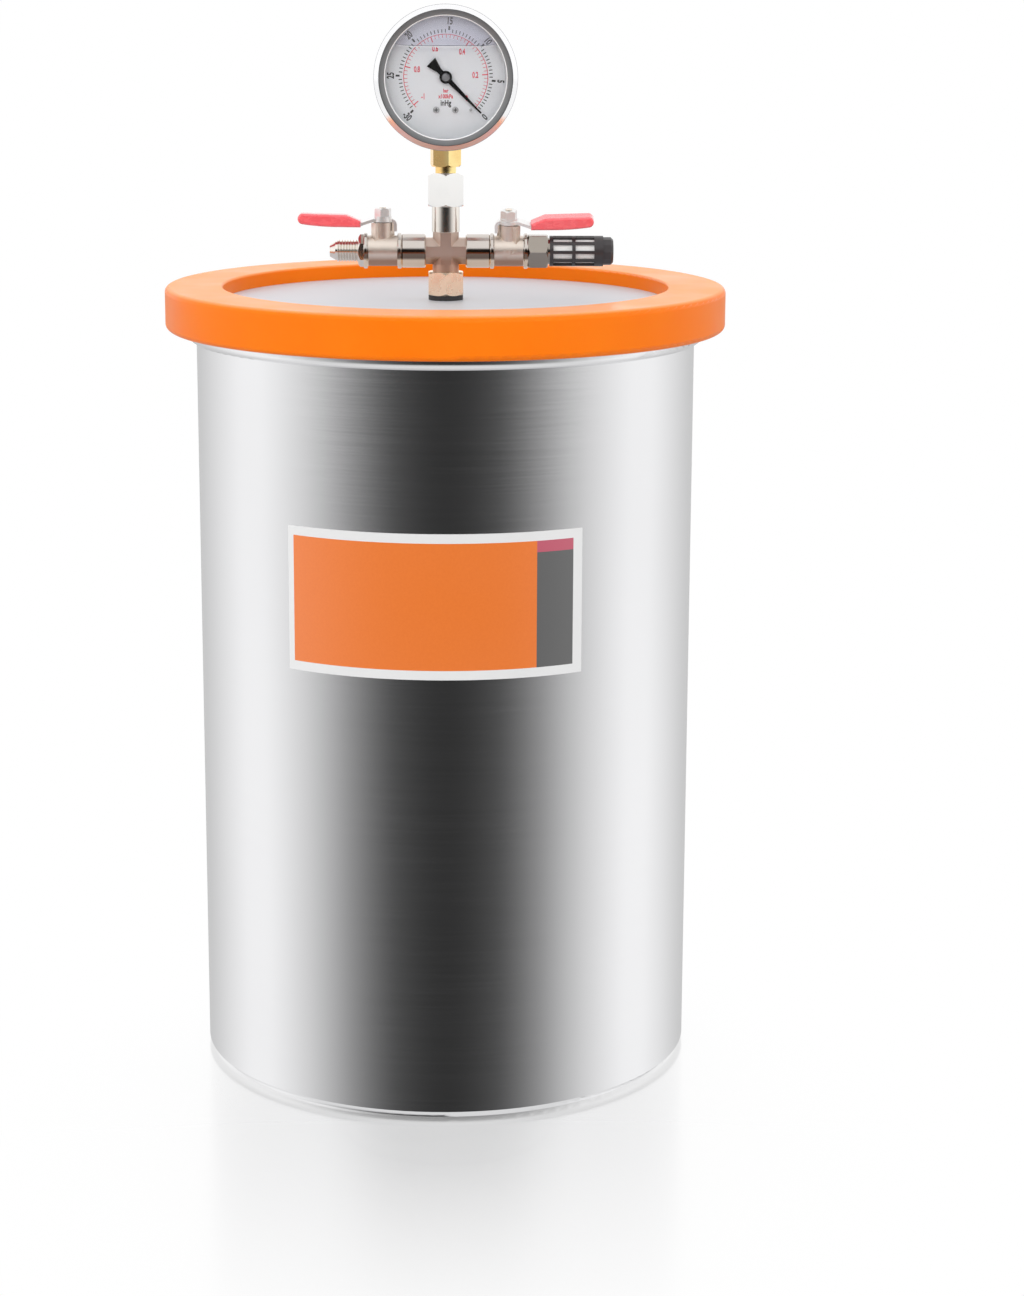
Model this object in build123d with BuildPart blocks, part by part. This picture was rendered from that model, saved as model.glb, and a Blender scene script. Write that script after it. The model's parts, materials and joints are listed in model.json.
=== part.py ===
"""Vacuum chamber: tall drawn pot, clear lid in a silicone ring, cross fitting, two ball valves, gauge.

Millimetres, +Z up, origin at the centre of the pot's base. -Y is the front, where the gauge faces.
Turned pieces are drawn as half profiles, with corners given as (distance along the axis, radius).
"""

from build123d import *
import math
import os

os.makedirs("parts", exist_ok=True)

# ---------------------------------------------------------------- driving dimensions
# Pot
pot_diameter = 250.0
pot_wall = 1.2
pot_height = 375.5
pot_base_radius = 4.0
rim_bend_radius = 6.0
rim_overhang = 7.0

# Label on the pot's front: angles run from the front towards +X
label_bottom_z = 222.2
label_height = 70.4
label_from_angle = -37.1
label_to_angle = 31.0
label_thickness = 0.25
label_gap = 0.05

# Lid and its sealing ring
lid_thickness = 10.0
lid_margin = 1.0
lid_edge_round = 1.2
ring_wall = 7.2
ring_top_lip = 7.5
ring_bottom_lip = 3.5
ring_lip_width = 21.5
ring_outer_round = 2.8
ring_inner_round = 1.2
ring_gap = 0.1

# Hexagons, threads and cuts in general
hex_chamfer_slope = 0.9
hex_overrun = 1.0
cut_overrun = 1.0
thread_end_gap = 1.0

# Fitting through the lid
stem_diameter = 13.0
stem_gap = 0.3
thread_gap = 0.05
washer_diameter = 17.3
rubber_washer_thickness = 2.4
steel_washer_thickness = 1.2
steel_washer_diameter = 22.0
lock_nut_across = 19.0
lock_nut_height = 6.5
stem_end_below_nut = 2.0
adapter_across = 17.3
adapter_height = 11.6
air_bore = 6.0

# Pipe thread in the fittings (quarter-inch size)
thread_diameter = 13.1
thread_depth = 9.0

# Cross fitting
cross_neck_length = 3.8
cross_half_height = 6.5
cross_arm_across = 12.9
cross_cast_reach = 10.0
cross_side_reach = 22.1
cross_side_diameter = 16.8
cross_top_diameter = 13.9
cross_top_cast = 9.6
cross_top_reach = 22.3
cross_end_chamfer = 0.6

# Gauge coupling and brass socket
coupling_across = 17.5
coupling_height = 16.6
socket_thread_diameter = 10.4
socket_neck_length = 2.9
socket_across = 14.0
socket_hex_height = 9.4
socket_hex_clocking = 10.0

# Ball valves: distances along the pipe are from the stem axis
valve_x = 31.4
left_valve_lean = 0.0
right_valve_lean = 12.0
collar_diameter = 17.7
collar_width = 2.0
collar_chamfer = 0.4
barrel_diameter = 15.2
barrel_outer_end = 7.6
spigot_length = 8.8
flow_bore = 4.6
ball_diameter = 8.8
ball_gap = 0.06
seat_start = 2.9
seat_end = 5.25
seat_diameter = 10.8
seat_bore_gap = 0.2
retainer_length = 1.6
tower_diameter = 9.2
tower_height = 14.0
lug_width = 3.0
lug_reach = 6.6
lug_bottom = 4.0
lug_root = 1.0
valve_stem_diameter = 4.4
shaft_gap = 0.05
foot_diameter = 5.5
foot_height = 1.0
foot_lift = 0.1
foot_play = 0.6
tongue_width = 1.7
tongue_length = 4.4
tongue_depth = 1.5
packing_diameter = 6.8
packing_height = 4.0
packing_bottom = 8.5
stem_flats = 3.4
flat_cut_width = 2.0
stem_thread_diameter = 3.4
stem_thread_rise = 5.6

# Levers
lever_gap = 0.4
strap_thickness = 1.5
strap_width = 7.6
lever_eye_diameter = 10.0
stop_tab_reach = 7.0
stop_tab_width = 4.0
stop_tab_drop = 6.2
stop_tab_bend = 3.0
grip_start = 11.1
grip_end = 42.4
grip_top_start = 17.9
grip_top_end = 18.6
grip_shoulder_run = 7.0
grip_shoulder_drop = 3.0
grip_start_depth = 3.1
grip_belly_start = 10.5
grip_belly_depth = 5.9
grip_coat = 1.0
grip_round = 1.3
grip_tip_length = 2.0
grip_tip_slant = 0.2
grip_tip_lift = 0.6
nut_flange_diameter = 8.8
nut_flange_height = 1.1
nut_across = 7.4
nut_height = 5.2
nut_clocking = 15.0

# Left outlet: flare fitting
flare_across = 14.0
flare_hex_width = 2.7
flare_shank_diameter = 11.6
flare_shank_length = 2.9
flare_thread_diameter = 11.1
flare_thread_length = 7.6
flare_groove_length = 1.0
flare_groove_diameter = 9.4
flare_nose_length = 2.8
flare_nose_diameter = 9.2
flare_tip_diameter = 6.0
flare_bore = 4.8
outlet_thread_depth = 2.6
outlet_end_gap = 0.1

# Right outlet: air filter
filter_hex_across = 16.0
filter_hex_width = 10.0
filter_neck_length = 1.0
filter_diameter = 15.2
filter_wall = 1.4
filter_cage_length = 24.2
filter_window_length = 9.4
filter_rib = 1.7
filter_window_count = 10
filter_window_angle = 24.0
filter_cap_length = 7.6
filter_cap_diameter = 14.0
filter_cap_flats = 13.44
filter_element_wall = 1.8

# Gauge: depths are measured towards the front from the socket's axis
socket_case_gap = 1.3
bezel_wall = 0.85
bezel_sheet = 0.7
bezel_flat = 0.4
bezel_lap = 2.6
bezel_front = 18.0
bezel_bevel = 2.4
bezel_edge_round = 0.5
bezel_lip = 0.5
crimp_gap = 0.3
case_diameter = 66.4
case_wall = 0.8
case_back = 12.0
case_back_round = 1.5
case_rim_depth = 12.3
case_rim_reach = 1.3
block_width = 11.0
block_height = 12.6
block_rise = 0.6
block_bore_depth = 4.0
plug_diameter = 8.0
plug_offset = 2.0
plug_inside = 1.5
plug_outside = 0.9
plug_round = 0.4
seal_thickness = 0.9
window_thickness = 2.0
dial_gap = 0.7
dial_bore_gap = 1.0
dial_thickness = 0.8
dial_depth = 6.2
screw_spread = 4.7
screw_drop = 15.9
screw_diameter = 1.6
screw_head_diameter = 3.2
screw_head_height = 0.8
stop_pin_reach = 20.0
stop_pin_angle = 7.0
stop_pin_diameter = 1.4
stop_pin_height = 2.4
plate_depth = 2.6
plate_thickness = 1.0
plate_spacing = 6.6
plate_width = 14.0
plate_corner = 2.0
plate_lap = 5.0
gear_module = 0.3
pinion_teeth = 12
sector_teeth = 72
sector_swing = 45.0
mesh_angle = 90.0
tail_radius = 5.0
arbor_diameter = 1.6
pointer_thickness = 0.5
pointer_length = 23.8
pointer_tail = 10.3
pointer_rest_angle = -45.0
pointer_lift = 1.2
pointer_root_width = 2.6
pointer_tip_width = 0.7
pointer_neck = 4.635
pointer_tail_width = 6.0
pointer_hub_diameter = 6.2
pointer_hub_rise = 0.7
spindle_past_pointer = 0.9
gear_lash = 0.06
gear_width = 1.6
tooth_rise = 0.27
tooth_fall = 0.36
tooth_tip_share = 0.45
tooth_root_sink = 0.1
tooth_root_flare = 0.05
spare_teeth = 4
sector_thickness = 1.2
sector_rim_width = 1.4
sector_hub_diameter = 4.4
spoke_width = 1.8
spoke_inset = 6.0
spoke_shift = 0.4
tail_width = 2.4
pin_past_link = 0.3
link_depth = 0.2
link_thickness = 0.6
link_width = 1.4
link_eye_diameter = 3.0
link_slot_width = 2.6
link_slot_gap = 0.3
link_slot_spare = 0.6
hairspring_depth = 1.2
hairspring_height = 0.6
hairspring_turns = 3
hairspring_strip = 0.2
hairspring_outer_radius = 4.6
collet_radius = 1.4
hairspring_start_gap = 0.1
stud_diameter = 1.0
plate_top_edge = 5.6
pillar_spread = 5.2
pillar_rise = 3.8
pillar_diameter = 2.4
tube_case_gap = 5.4
tube_flat = 3.0
tube_height = 6.0
tube_wall = 0.5
tube_start_angle = 264.0
tube_end_angle = -20.0
solder_angle = 14.0
tip_cap_angle = 2.5
ear_lap = 1.0
ear_gap = 0.3
ear_lap_angle = 4.0
tip_pin_past_link = 0.5
pin_diameter = 1.2

# ---------------------------------------------------------------- positions worked out from them
pot_radius = pot_diameter / 2
rim_radius = pot_radius + rim_overhang
lid_radius = rim_radius + lid_margin
ring_opening_radius = lid_radius - ring_lip_width
lid_bottom_z = pot_height + ring_bottom_lip
lid_top_z = lid_bottom_z + lid_thickness
ring_outer_radius = lid_radius + ring_gap + ring_wall
ring_top_z = lid_top_z + ring_top_lip
adapter_z = lid_top_z + rubber_washer_thickness
cross_bottom_z = adapter_z + adapter_height
pipe_z = cross_bottom_z + cross_neck_length + cross_half_height
coupling_z = pipe_z + cross_top_reach
socket_z = coupling_z + coupling_height
socket_hex_z = socket_z + socket_neck_length
gauge_z = socket_hex_z + socket_hex_height + socket_case_gap + case_diameter / 2

upright = Plane(origin=(0, 0, 0), x_dir=(0, 0, 1), z_dir=(0, 1, 0))
pipe_line = Plane(origin=(0, 0, pipe_z), x_dir=(1, 0, 0), z_dir=(0, -1, 0))
gauge_line = Plane(origin=(0, 0, gauge_z), x_dir=(0, -1, 0), z_dir=(0, 0, 1))
gauge_face = Plane(origin=(0, 0, gauge_z), x_dir=(1, 0, 0), z_dir=(0, -1, 0))


def axis_of(section):
    """The axis that a half profile on this plane is turned about."""
    return Axis(section.origin, section.x_dir)


def turned(section, corners):
    """A closed half profile with straight sides, for revolve."""
    with BuildSketch(section) as profile:
        with BuildLine():
            Polyline(*corners, close=True)
        make_face()
    return profile.sketch


def tube_profile(section, start, end, inner, outer):
    """A half profile of a plain ring or tube, by its radii."""
    return turned(section, [(start, inner), (end, inner), (end, outer), (start, outer)])


def hex_blank(section, start, end, across):
    """The turned blank that leaves chamfered corners when a hexagon is cut from it."""
    flat = across / 2
    corner = flat / math.cos(math.radians(30))
    run = (corner - flat) * hex_chamfer_slope
    return turned(
        section,
        [
            (start, 0),
            (start, flat),
            (start + run, corner),
            (end - run, corner),
            (end, flat),
            (end, 0),
        ],
    )


def write(builder, name):
    """Label a finished piece and write its STEP file."""
    builder.part.label = name
    export_step(builder.part, f"parts/{name}.step")


# ---------------------------------------------------------------- pot and label
with BuildPart() as pot:
    inner_radius = pot_radius - pot_wall
    with BuildSketch(upright):
        with BuildLine():
            Polyline(
                (pot_height, rim_radius),
                (pot_height, inner_radius + rim_bend_radius),
            )
            RadiusArc(
                (pot_height, inner_radius + rim_bend_radius),
                (pot_height - rim_bend_radius, inner_radius),
                -rim_bend_radius,
            )
            Line((pot_height - rim_bend_radius, inner_radius), (pot_base_radius, inner_radius))
            RadiusArc(
                (pot_base_radius, inner_radius),
                (pot_wall, inner_radius - pot_base_radius + pot_wall),
                pot_base_radius - pot_wall,
            )
            Polyline((pot_wall, inner_radius - pot_base_radius + pot_wall), (pot_wall, 0), (0, 0))
            Line((0, 0), (0, pot_radius - pot_base_radius))
            RadiusArc(
                (0, pot_radius - pot_base_radius),
                (pot_base_radius, pot_radius),
                -pot_base_radius,
            )
            Line((pot_base_radius, pot_radius), (pot_height - rim_bend_radius, pot_radius))
            RadiusArc(
                (pot_height - rim_bend_radius, pot_radius),
                (pot_height - pot_wall, inner_radius + rim_bend_radius),
                rim_bend_radius - pot_wall,
            )
            Polyline(
                (pot_height - pot_wall, inner_radius + rim_bend_radius),
                (pot_height - pot_wall, rim_radius),
                (pot_height, rim_radius),
            )
        make_face()
    revolve(axis=Axis.Z)
write(pot, "pot")

with BuildPart() as label:
    label_start = Plane(
        origin=(0, 0, label_bottom_z),
        x_dir=(0, 0, 1),
        z_dir=Vector(1, 0, 0).rotate(Axis.Z, label_from_angle),
    )
    label_back = pot_radius + label_gap
    sheet = tube_profile(label_start, 0, label_height, label_back, label_back + label_thickness)
    revolve(sheet, axis=Axis.Z, revolution_arc=label_to_angle - label_from_angle)
write(label, "label")

# ---------------------------------------------------------------- lid and sealing ring
with BuildPart() as lid_plate:
    with BuildSketch(Plane.XY.offset(lid_bottom_z)):
        Circle(lid_radius)
        Circle(stem_diameter / 2 + stem_gap, mode=Mode.SUBTRACT)
    extrude(amount=lid_thickness)
    rims = lid_plate.edges().filter_by(GeomType.CIRCLE).group_by(SortBy.RADIUS)[-1]
    fillet(rims, radius=lid_edge_round)
write(lid_plate, "lid_plate")

with BuildPart() as lid_gasket:
    opening = ring_opening_radius
    groove = lid_radius + ring_gap
    ring_corners = [
        (pot_height, opening),
        (pot_height, ring_outer_radius),
        (ring_top_z, ring_outer_radius),
        (ring_top_z, opening),
        (lid_top_z, opening),
        (lid_top_z, groove),
        (lid_bottom_z, groove),
        (lid_bottom_z, opening),
    ]
    revolve(turned(upright, ring_corners), axis=Axis.Z)
    circles = lid_gasket.edges().filter_by(GeomType.CIRCLE).group_by(SortBy.RADIUS)
    lips = circles[0].sort_by(Axis.Z)
    fillet([lips[0], lips[-1]], radius=ring_inner_round)
    circles = lid_gasket.edges().filter_by(GeomType.CIRCLE).group_by(SortBy.RADIUS)
    fillet(circles[-1], radius=ring_outer_round)
write(lid_gasket, "lid_gasket")

# ---------------------------------------------------------------- fitting through the lid
stem_radius = stem_diameter / 2
nut_top_z = lid_bottom_z - rubber_washer_thickness - steel_washer_thickness
stem_end_z = nut_top_z - lock_nut_height - stem_end_below_nut
socket_radius = thread_diameter / 2 + thread_gap

with BuildPart() as lid_adapter:
    with BuildSketch(Plane.XY.offset(adapter_z)):
        RegularPolygon(adapter_across / 2, 6, major_radius=False, rotation=30)
    extrude(amount=adapter_height)
    revolve(
        hex_blank(upright, adapter_z, cross_bottom_z, adapter_across),
        axis=Axis.Z,
        mode=Mode.INTERSECT,
    )
    revolve(tube_profile(upright, stem_end_z, adapter_z, 0, stem_radius), axis=Axis.Z)
    revolve(
        tube_profile(upright, stem_end_z, cross_bottom_z, 0, air_bore / 2),
        axis=Axis.Z,
        mode=Mode.SUBTRACT,
    )
    revolve(
        tube_profile(upright, cross_bottom_z - thread_depth, cross_bottom_z, 0, socket_radius),
        axis=Axis.Z,
        mode=Mode.SUBTRACT,
    )
write(lid_adapter, "lid_adapter")

washer_bore = stem_radius + stem_gap
with BuildPart() as lid_washer_top:
    washer_radius = washer_diameter / 2
    revolve(tube_profile(upright, lid_top_z, adapter_z, washer_bore, washer_radius), axis=Axis.Z)
write(lid_washer_top, "lid_washer_top")

steel_washer_z = lid_bottom_z - rubber_washer_thickness
with BuildPart() as lid_washer_bottom:
    washer_radius = washer_diameter / 2
    revolve(tube_profile(upright, steel_washer_z, lid_bottom_z, washer_bore, washer_radius), axis=Axis.Z)
write(lid_washer_bottom, "lid_washer_bottom")

with BuildPart() as lid_washer_steel:
    washer_radius = steel_washer_diameter / 2
    revolve(tube_profile(upright, nut_top_z, steel_washer_z, washer_bore, washer_radius), axis=Axis.Z)
write(lid_washer_steel, "lid_washer_steel")

with BuildPart() as lid_lock_nut:
    nut_bottom_z = nut_top_z - lock_nut_height
    with BuildSketch(Plane.XY.offset(nut_bottom_z)):
        RegularPolygon(lock_nut_across / 2, 6, major_radius=False, rotation=30)
    extrude(amount=lock_nut_height)
    revolve(
        hex_blank(upright, nut_bottom_z, nut_top_z, lock_nut_across),
        axis=Axis.Z,
        mode=Mode.INTERSECT,
    )
    revolve(
        tube_profile(upright, nut_bottom_z, nut_top_z, 0, stem_radius + thread_gap),
        axis=Axis.Z,
        mode=Mode.SUBTRACT,
    )
write(lid_lock_nut, "lid_lock_nut")

# ---------------------------------------------------------------- cross fitting, coupling and socket
pipe_axis = axis_of(pipe_line)
thread_radius = thread_diameter / 2

with BuildPart() as cross_fitting:
    # Forged octagonal arms along the pipe and up the stem
    across_pipe = Plane(origin=(0, 0, pipe_z), x_dir=(0, 1, 0), z_dir=(1, 0, 0))
    with BuildSketch(across_pipe):
        RegularPolygon(cross_arm_across / 2, 8, major_radius=False, rotation=180 / 8)
    extrude(amount=cross_cast_reach, both=True)
    with BuildSketch(Plane.XY.offset(pipe_z - cross_half_height)):
        RegularPolygon(cross_arm_across / 2, 8, major_radius=False, rotation=180 / 8)
    extrude(amount=cross_half_height + cross_top_cast)
    # Turned ends: two socket arms, the threaded top and the threaded neck below
    for way in (-1, 1):
        end_profile = tube_profile(
            pipe_line, way * cross_cast_reach, way * cross_side_reach, 0, cross_side_diameter / 2
        )
        revolve(end_profile, axis=pipe_axis)
    top_thread_z = coupling_z + thread_depth
    revolve(
        tube_profile(upright, pipe_z + cross_top_cast, coupling_z, 0, cross_top_diameter / 2),
        axis=Axis.Z,
    )
    revolve(tube_profile(upright, coupling_z, top_thread_z, 0, thread_radius), axis=Axis.Z)
    neck_start_z = cross_bottom_z - thread_depth + thread_end_gap
    revolve(
        tube_profile(upright, neck_start_z, pipe_z - cross_half_height, 0, thread_radius),
        axis=Axis.Z,
    )
    turned_ends = cross_fitting.edges().filter_by(GeomType.CIRCLE).group_by(SortBy.RADIUS)[-1]
    chamfer(turned_ends, length=cross_end_chamfer)
    # Air ways
    revolve(
        tube_profile(upright, neck_start_z, top_thread_z, 0, air_bore / 2),
        axis=Axis.Z,
        mode=Mode.SUBTRACT,
    )
    revolve(
        tube_profile(pipe_line, -cross_side_reach, cross_side_reach, 0, air_bore / 2),
        axis=pipe_axis,
        mode=Mode.SUBTRACT,
    )
    for way in (-1, 1):
        thread_start = way * (cross_side_reach - thread_depth)
        revolve(
            tube_profile(pipe_line, thread_start, way * cross_side_reach, 0, socket_radius),
            axis=pipe_axis,
            mode=Mode.SUBTRACT,
        )
write(cross_fitting, "cross_fitting")

with BuildPart() as gauge_coupling:
    with BuildSketch(Plane.XY.offset(coupling_z)):
        RegularPolygon(coupling_across / 2, 6, major_radius=False, rotation=30)
    extrude(amount=coupling_height)
    revolve(
        hex_blank(upright, coupling_z, socket_z, coupling_across),
        axis=Axis.Z,
        mode=Mode.INTERSECT,
    )
    lower_end = coupling_z + thread_depth
    revolve(
        tube_profile(upright, coupling_z, lower_end, 0, socket_radius),
        axis=Axis.Z,
        mode=Mode.SUBTRACT,
    )
    revolve(
        tube_profile(upright, lower_end, socket_z, 0, socket_thread_diameter / 2 + thread_gap),
        axis=Axis.Z,
        mode=Mode.SUBTRACT,
    )
write(gauge_coupling, "gauge_coupling")


# ---------------------------------------------------------------- ball valves
def valve_planes(side, lean):
    """Planes through one valve's ball centre: seen from the side, and looking down the stem."""
    centre = Vector(side * valve_x, 0, pipe_z)
    outward = Vector(side, 0, 0)
    up = Vector(0, -math.sin(math.radians(lean)), math.cos(math.radians(lean)))
    side_view = Plane(origin=centre, x_dir=outward, z_dir=outward.cross(up))
    top_view = Plane(origin=centre, x_dir=outward, z_dir=up)
    return side_view, top_view


inner_face = cross_side_reach - valve_x
outer_face = barrel_outer_end + collar_width
seat_bore = flow_bore / 2 + seat_bore_gap
cavity_radius = seat_diameter / 2 + thread_gap
retainer_end = seat_end + thread_gap + retainer_length
outlet_bore_start = outer_face - outlet_thread_depth
plate_bottom = tower_height + lever_gap
plate_top = plate_bottom + strap_thickness


def grip_outline(side_view):
    """The lever's grip seen from the side: sloping shoulder, straight top, bowed belly, round tip."""
    tip_top = grip_end - grip_tip_length
    tip_bottom = tip_top - grip_tip_slant
    tip_low = grip_top_end - grip_belly_depth + grip_tip_lift
    shoulder_x = grip_start + grip_shoulder_run
    start_top = grip_top_start - grip_shoulder_drop
    start_bottom = start_top - grip_start_depth
    belly_start = grip_start + grip_belly_start
    belly_start_z = grip_top_start - (grip_belly_depth + grip_start_depth + grip_shoulder_drop) / 2
    belly_x = (belly_start + grip_end) / 2
    belly_z = (grip_top_start + grip_top_end) / 2 - grip_belly_depth
    with BuildSketch(side_view) as outline:
        with BuildLine():
            Line((grip_start, start_top), (shoulder_x, grip_top_start))
            Line((shoulder_x, grip_top_start), (tip_top, grip_top_end))
            ThreePointArc(
                (tip_top, grip_top_end),
                (grip_end, (grip_top_end + tip_low) / 2),
                (tip_bottom, tip_low),
            )
            ThreePointArc(
                (tip_bottom, tip_low),
                (belly_x, belly_z),
                (belly_start, belly_start_z),
            )
            Line((belly_start, belly_start_z), (grip_start, start_bottom))
            Line((grip_start, start_bottom), (grip_start, start_top))
        make_face()
    return outline.sketch


def make_valve(name, side, lean):
    """One ball valve with its lever; the lever shuts towards the back on either side."""
    side_view, top_view = valve_planes(side, lean)
    flow_axis = axis_of(side_view)
    stem_axis = Axis(top_view.origin, top_view.z_dir)
    stem_line = Plane(origin=top_view.origin, x_dir=top_view.z_dir, z_dir=side_view.z_dir)

    with BuildPart() as valve_body:
        body_corners = [
            (inner_face - spigot_length, 0),
            (inner_face - spigot_length, thread_radius),
            (inner_face, thread_radius),
            (inner_face, collar_diameter / 2),
            (inner_face + collar_width, collar_diameter / 2),
            (inner_face + collar_width, barrel_diameter / 2),
            (barrel_outer_end, barrel_diameter / 2),
            (barrel_outer_end, collar_diameter / 2),
            (outer_face, collar_diameter / 2),
            (outer_face, 0),
        ]
        revolve(turned(side_view, body_corners), axis=flow_axis)
        collar_edges = valve_body.edges().filter_by(GeomType.CIRCLE).group_by(SortBy.RADIUS)[-1]
        chamfer(collar_edges, length=collar_chamfer)
        with BuildSketch(top_view):
            Circle(tower_diameter / 2)
        extrude(amount=tower_height)
        # Two stops beside the tower, on its outer front and its inner back
        with BuildSketch(top_view.offset(lug_bottom)):
            for turn in (-45, 135):
                with Locations(Rotation(0, 0, side * turn)):
                    with Locations(((tower_diameter / 2 + lug_reach - lug_root) / 2, 0)):
                        Rectangle(lug_reach - tower_diameter / 2 + lug_root, lug_width)
        extrude(amount=tower_height - lug_bottom)
        hollow_corners = [
            (inner_face - spigot_length, 0),
            (inner_face - spigot_length, flow_bore / 2),
            (-seat_end - thread_gap, flow_bore / 2),
            (-seat_end - thread_gap, cavity_radius),
            (outlet_bore_start, cavity_radius),
            (outlet_bore_start, socket_radius),
            (outer_face, socket_radius),
            (outer_face, 0),
        ]
        revolve(turned(side_view, hollow_corners), axis=flow_axis, mode=Mode.SUBTRACT)
        stem_room_corners = [
            (0, 0),
            (0, foot_diameter / 2 + shaft_gap),
            (ball_diameter / 2 + foot_height + foot_play, foot_diameter / 2 + shaft_gap),
            (ball_diameter / 2 + foot_height + foot_play, valve_stem_diameter / 2 + shaft_gap),
            (packing_bottom, valve_stem_diameter / 2 + shaft_gap),
            (packing_bottom, packing_diameter / 2),
            (tower_height, packing_diameter / 2),
            (tower_height, 0),
        ]
        revolve(turned(stem_line, stem_room_corners), axis=stem_axis, mode=Mode.SUBTRACT)
    write(valve_body, f"{name}_valve_body")

    with BuildPart() as valve_retainer:
        revolve(
            tube_profile(side_view, seat_end, retainer_end, seat_bore, seat_diameter / 2),
            axis=flow_axis,
        )
    write(valve_retainer, f"{name}_valve_retainer")

    with BuildPart() as valve_seats:
        # Each seat's inner corner is dished to the ball
        dish = ball_diameter / 2 + ball_gap
        dish_start = math.asin(seat_bore / dish)
        dish_end = math.acos(seat_start / dish)
        dish_turns = (dish_start, (dish_start + dish_end) / 2, dish_end)
        for way in (-1, 1):
            dish_points = [(way * dish * math.cos(t), dish * math.sin(t)) for t in dish_turns]
            with BuildSketch(side_view):
                with BuildLine():
                    ThreePointArc(*dish_points)
                    Polyline(
                        dish_points[-1],
                        (way * seat_start, seat_diameter / 2),
                        (way * seat_end, seat_diameter / 2),
                        (way * seat_end, seat_bore),
                        dish_points[0],
                    )
                make_face()
            revolve(axis=flow_axis)
    write(valve_seats, f"{name}_valve_seats")

    with BuildPart() as valve_ball:
        with Locations(side_view.origin):
            Sphere(ball_diameter / 2)
        revolve(
            tube_profile(side_view, -ball_diameter, ball_diameter, 0, flow_bore / 2),
            axis=flow_axis,
            mode=Mode.SUBTRACT,
        )
        with BuildSketch(top_view.offset(ball_diameter / 2 - tongue_depth)):
            Rectangle(tongue_width + 2 * shaft_gap, ball_diameter)
        extrude(amount=ball_diameter, mode=Mode.SUBTRACT)
    write(valve_ball, f"{name}_valve_ball")

    with BuildPart() as valve_stem:
        foot_bottom = ball_diameter / 2 + foot_lift
        thread_top = plate_top + stem_thread_rise
        stem_corners = [
            (foot_bottom, 0),
            (foot_bottom, foot_diameter / 2),
            (foot_bottom + foot_height, foot_diameter / 2),
            (foot_bottom + foot_height, valve_stem_diameter / 2),
            (plate_top, valve_stem_diameter / 2),
            (plate_top, stem_thread_diameter / 2),
            (thread_top, stem_thread_diameter / 2),
            (thread_top, 0),
        ]
        revolve(turned(stem_line, stem_corners), axis=stem_axis)
        # Flats that the lever's eye fits over
        with BuildSketch(top_view.offset(plate_bottom)):
            for way in (-1, 1):
                with Locations((0, way * (stem_flats + flat_cut_width) / 2)):
                    Rectangle(valve_stem_diameter, flat_cut_width)
        extrude(amount=strap_thickness, mode=Mode.SUBTRACT)
        # Tongue that turns the ball
        tongue_bottom = ball_diameter / 2 - tongue_depth + foot_lift
        with BuildSketch(top_view.offset(tongue_bottom)):
            Rectangle(tongue_width, tongue_length)
        extrude(amount=foot_bottom - tongue_bottom)
    write(valve_stem, f"{name}_valve_stem")

    with BuildPart() as valve_packing:
        packing_bore = valve_stem_diameter / 2 + shaft_gap
        revolve(
            tube_profile(
                stem_line,
                packing_bottom,
                packing_bottom + packing_height,
                packing_bore,
                packing_diameter / 2,
            ),
            axis=stem_axis,
        )
    write(valve_packing, f"{name}_valve_packing")

    grip_sketch = grip_outline(side_view)
    channel_sketch = offset(grip_sketch, amount=-grip_coat, mode=Mode.PRIVATE)
    down = top_view.z_dir * -1

    with BuildPart() as lever:
        # Pressed channel that stiffens the strap inside the grip
        extrude(channel_sketch, amount=strap_width / 2, both=True)
        hollow = channel_sketch.moved(Location(down * strap_thickness))
        hollow_width = strap_width / 2 - strap_thickness
        extrude(hollow, amount=hollow_width, both=True, mode=Mode.SUBTRACT)
        # Strap from the stem up into the channel
        shoulder_x = grip_start + grip_shoulder_run
        channel_top = grip_top_start - grip_coat
        start_top = channel_top - grip_shoulder_drop
        strap_corners = [
            (0, plate_bottom),
            (lever_eye_diameter / 2, plate_bottom),
            (grip_start, start_top - strap_thickness),
            (shoulder_x, channel_top - strap_thickness),
            (shoulder_x + 2 * grip_coat, channel_top - strap_thickness),
            (shoulder_x + 2 * grip_coat, channel_top),
            (shoulder_x, channel_top),
            (grip_start, start_top),
            (lever_eye_diameter / 2, plate_top),
            (0, plate_top),
        ]
        extrude(turned(side_view, strap_corners), amount=strap_width / 2, both=True)
        with BuildSketch(top_view.offset(plate_bottom)):
            Circle(lever_eye_diameter / 2)
        extrude(amount=strap_thickness)
        # Stop tab curled down at the inner end
        tab_inner = stop_tab_bend - strap_thickness
        bend_x = stop_tab_bend - stop_tab_reach
        bend_z = plate_top - stop_tab_bend
        tab_foot = plate_top - stop_tab_drop
        slope = math.sqrt(0.5)
        with BuildSketch(side_view):
            with BuildLine():
                Line((0, plate_top), (bend_x, plate_top))
                ThreePointArc(
                    (bend_x, plate_top),
                    (bend_x - stop_tab_bend * slope, bend_z + stop_tab_bend * slope),
                    (-stop_tab_reach, bend_z),
                )
                Line((-stop_tab_reach, bend_z), (-stop_tab_reach, tab_foot))
                Line((-stop_tab_reach, tab_foot), (strap_thickness - stop_tab_reach, tab_foot))
                Line((strap_thickness - stop_tab_reach, tab_foot), (bend_x - tab_inner, bend_z))
                ThreePointArc(
                    (bend_x - tab_inner, bend_z),
                    (bend_x - tab_inner * slope, bend_z + tab_inner * slope),
                    (bend_x, plate_bottom),
                )
                Line((bend_x, plate_bottom), (0, plate_bottom))
                Line((0, plate_bottom), (0, plate_top))
            make_face()
        extrude(amount=stop_tab_width / 2, both=True)
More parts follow.
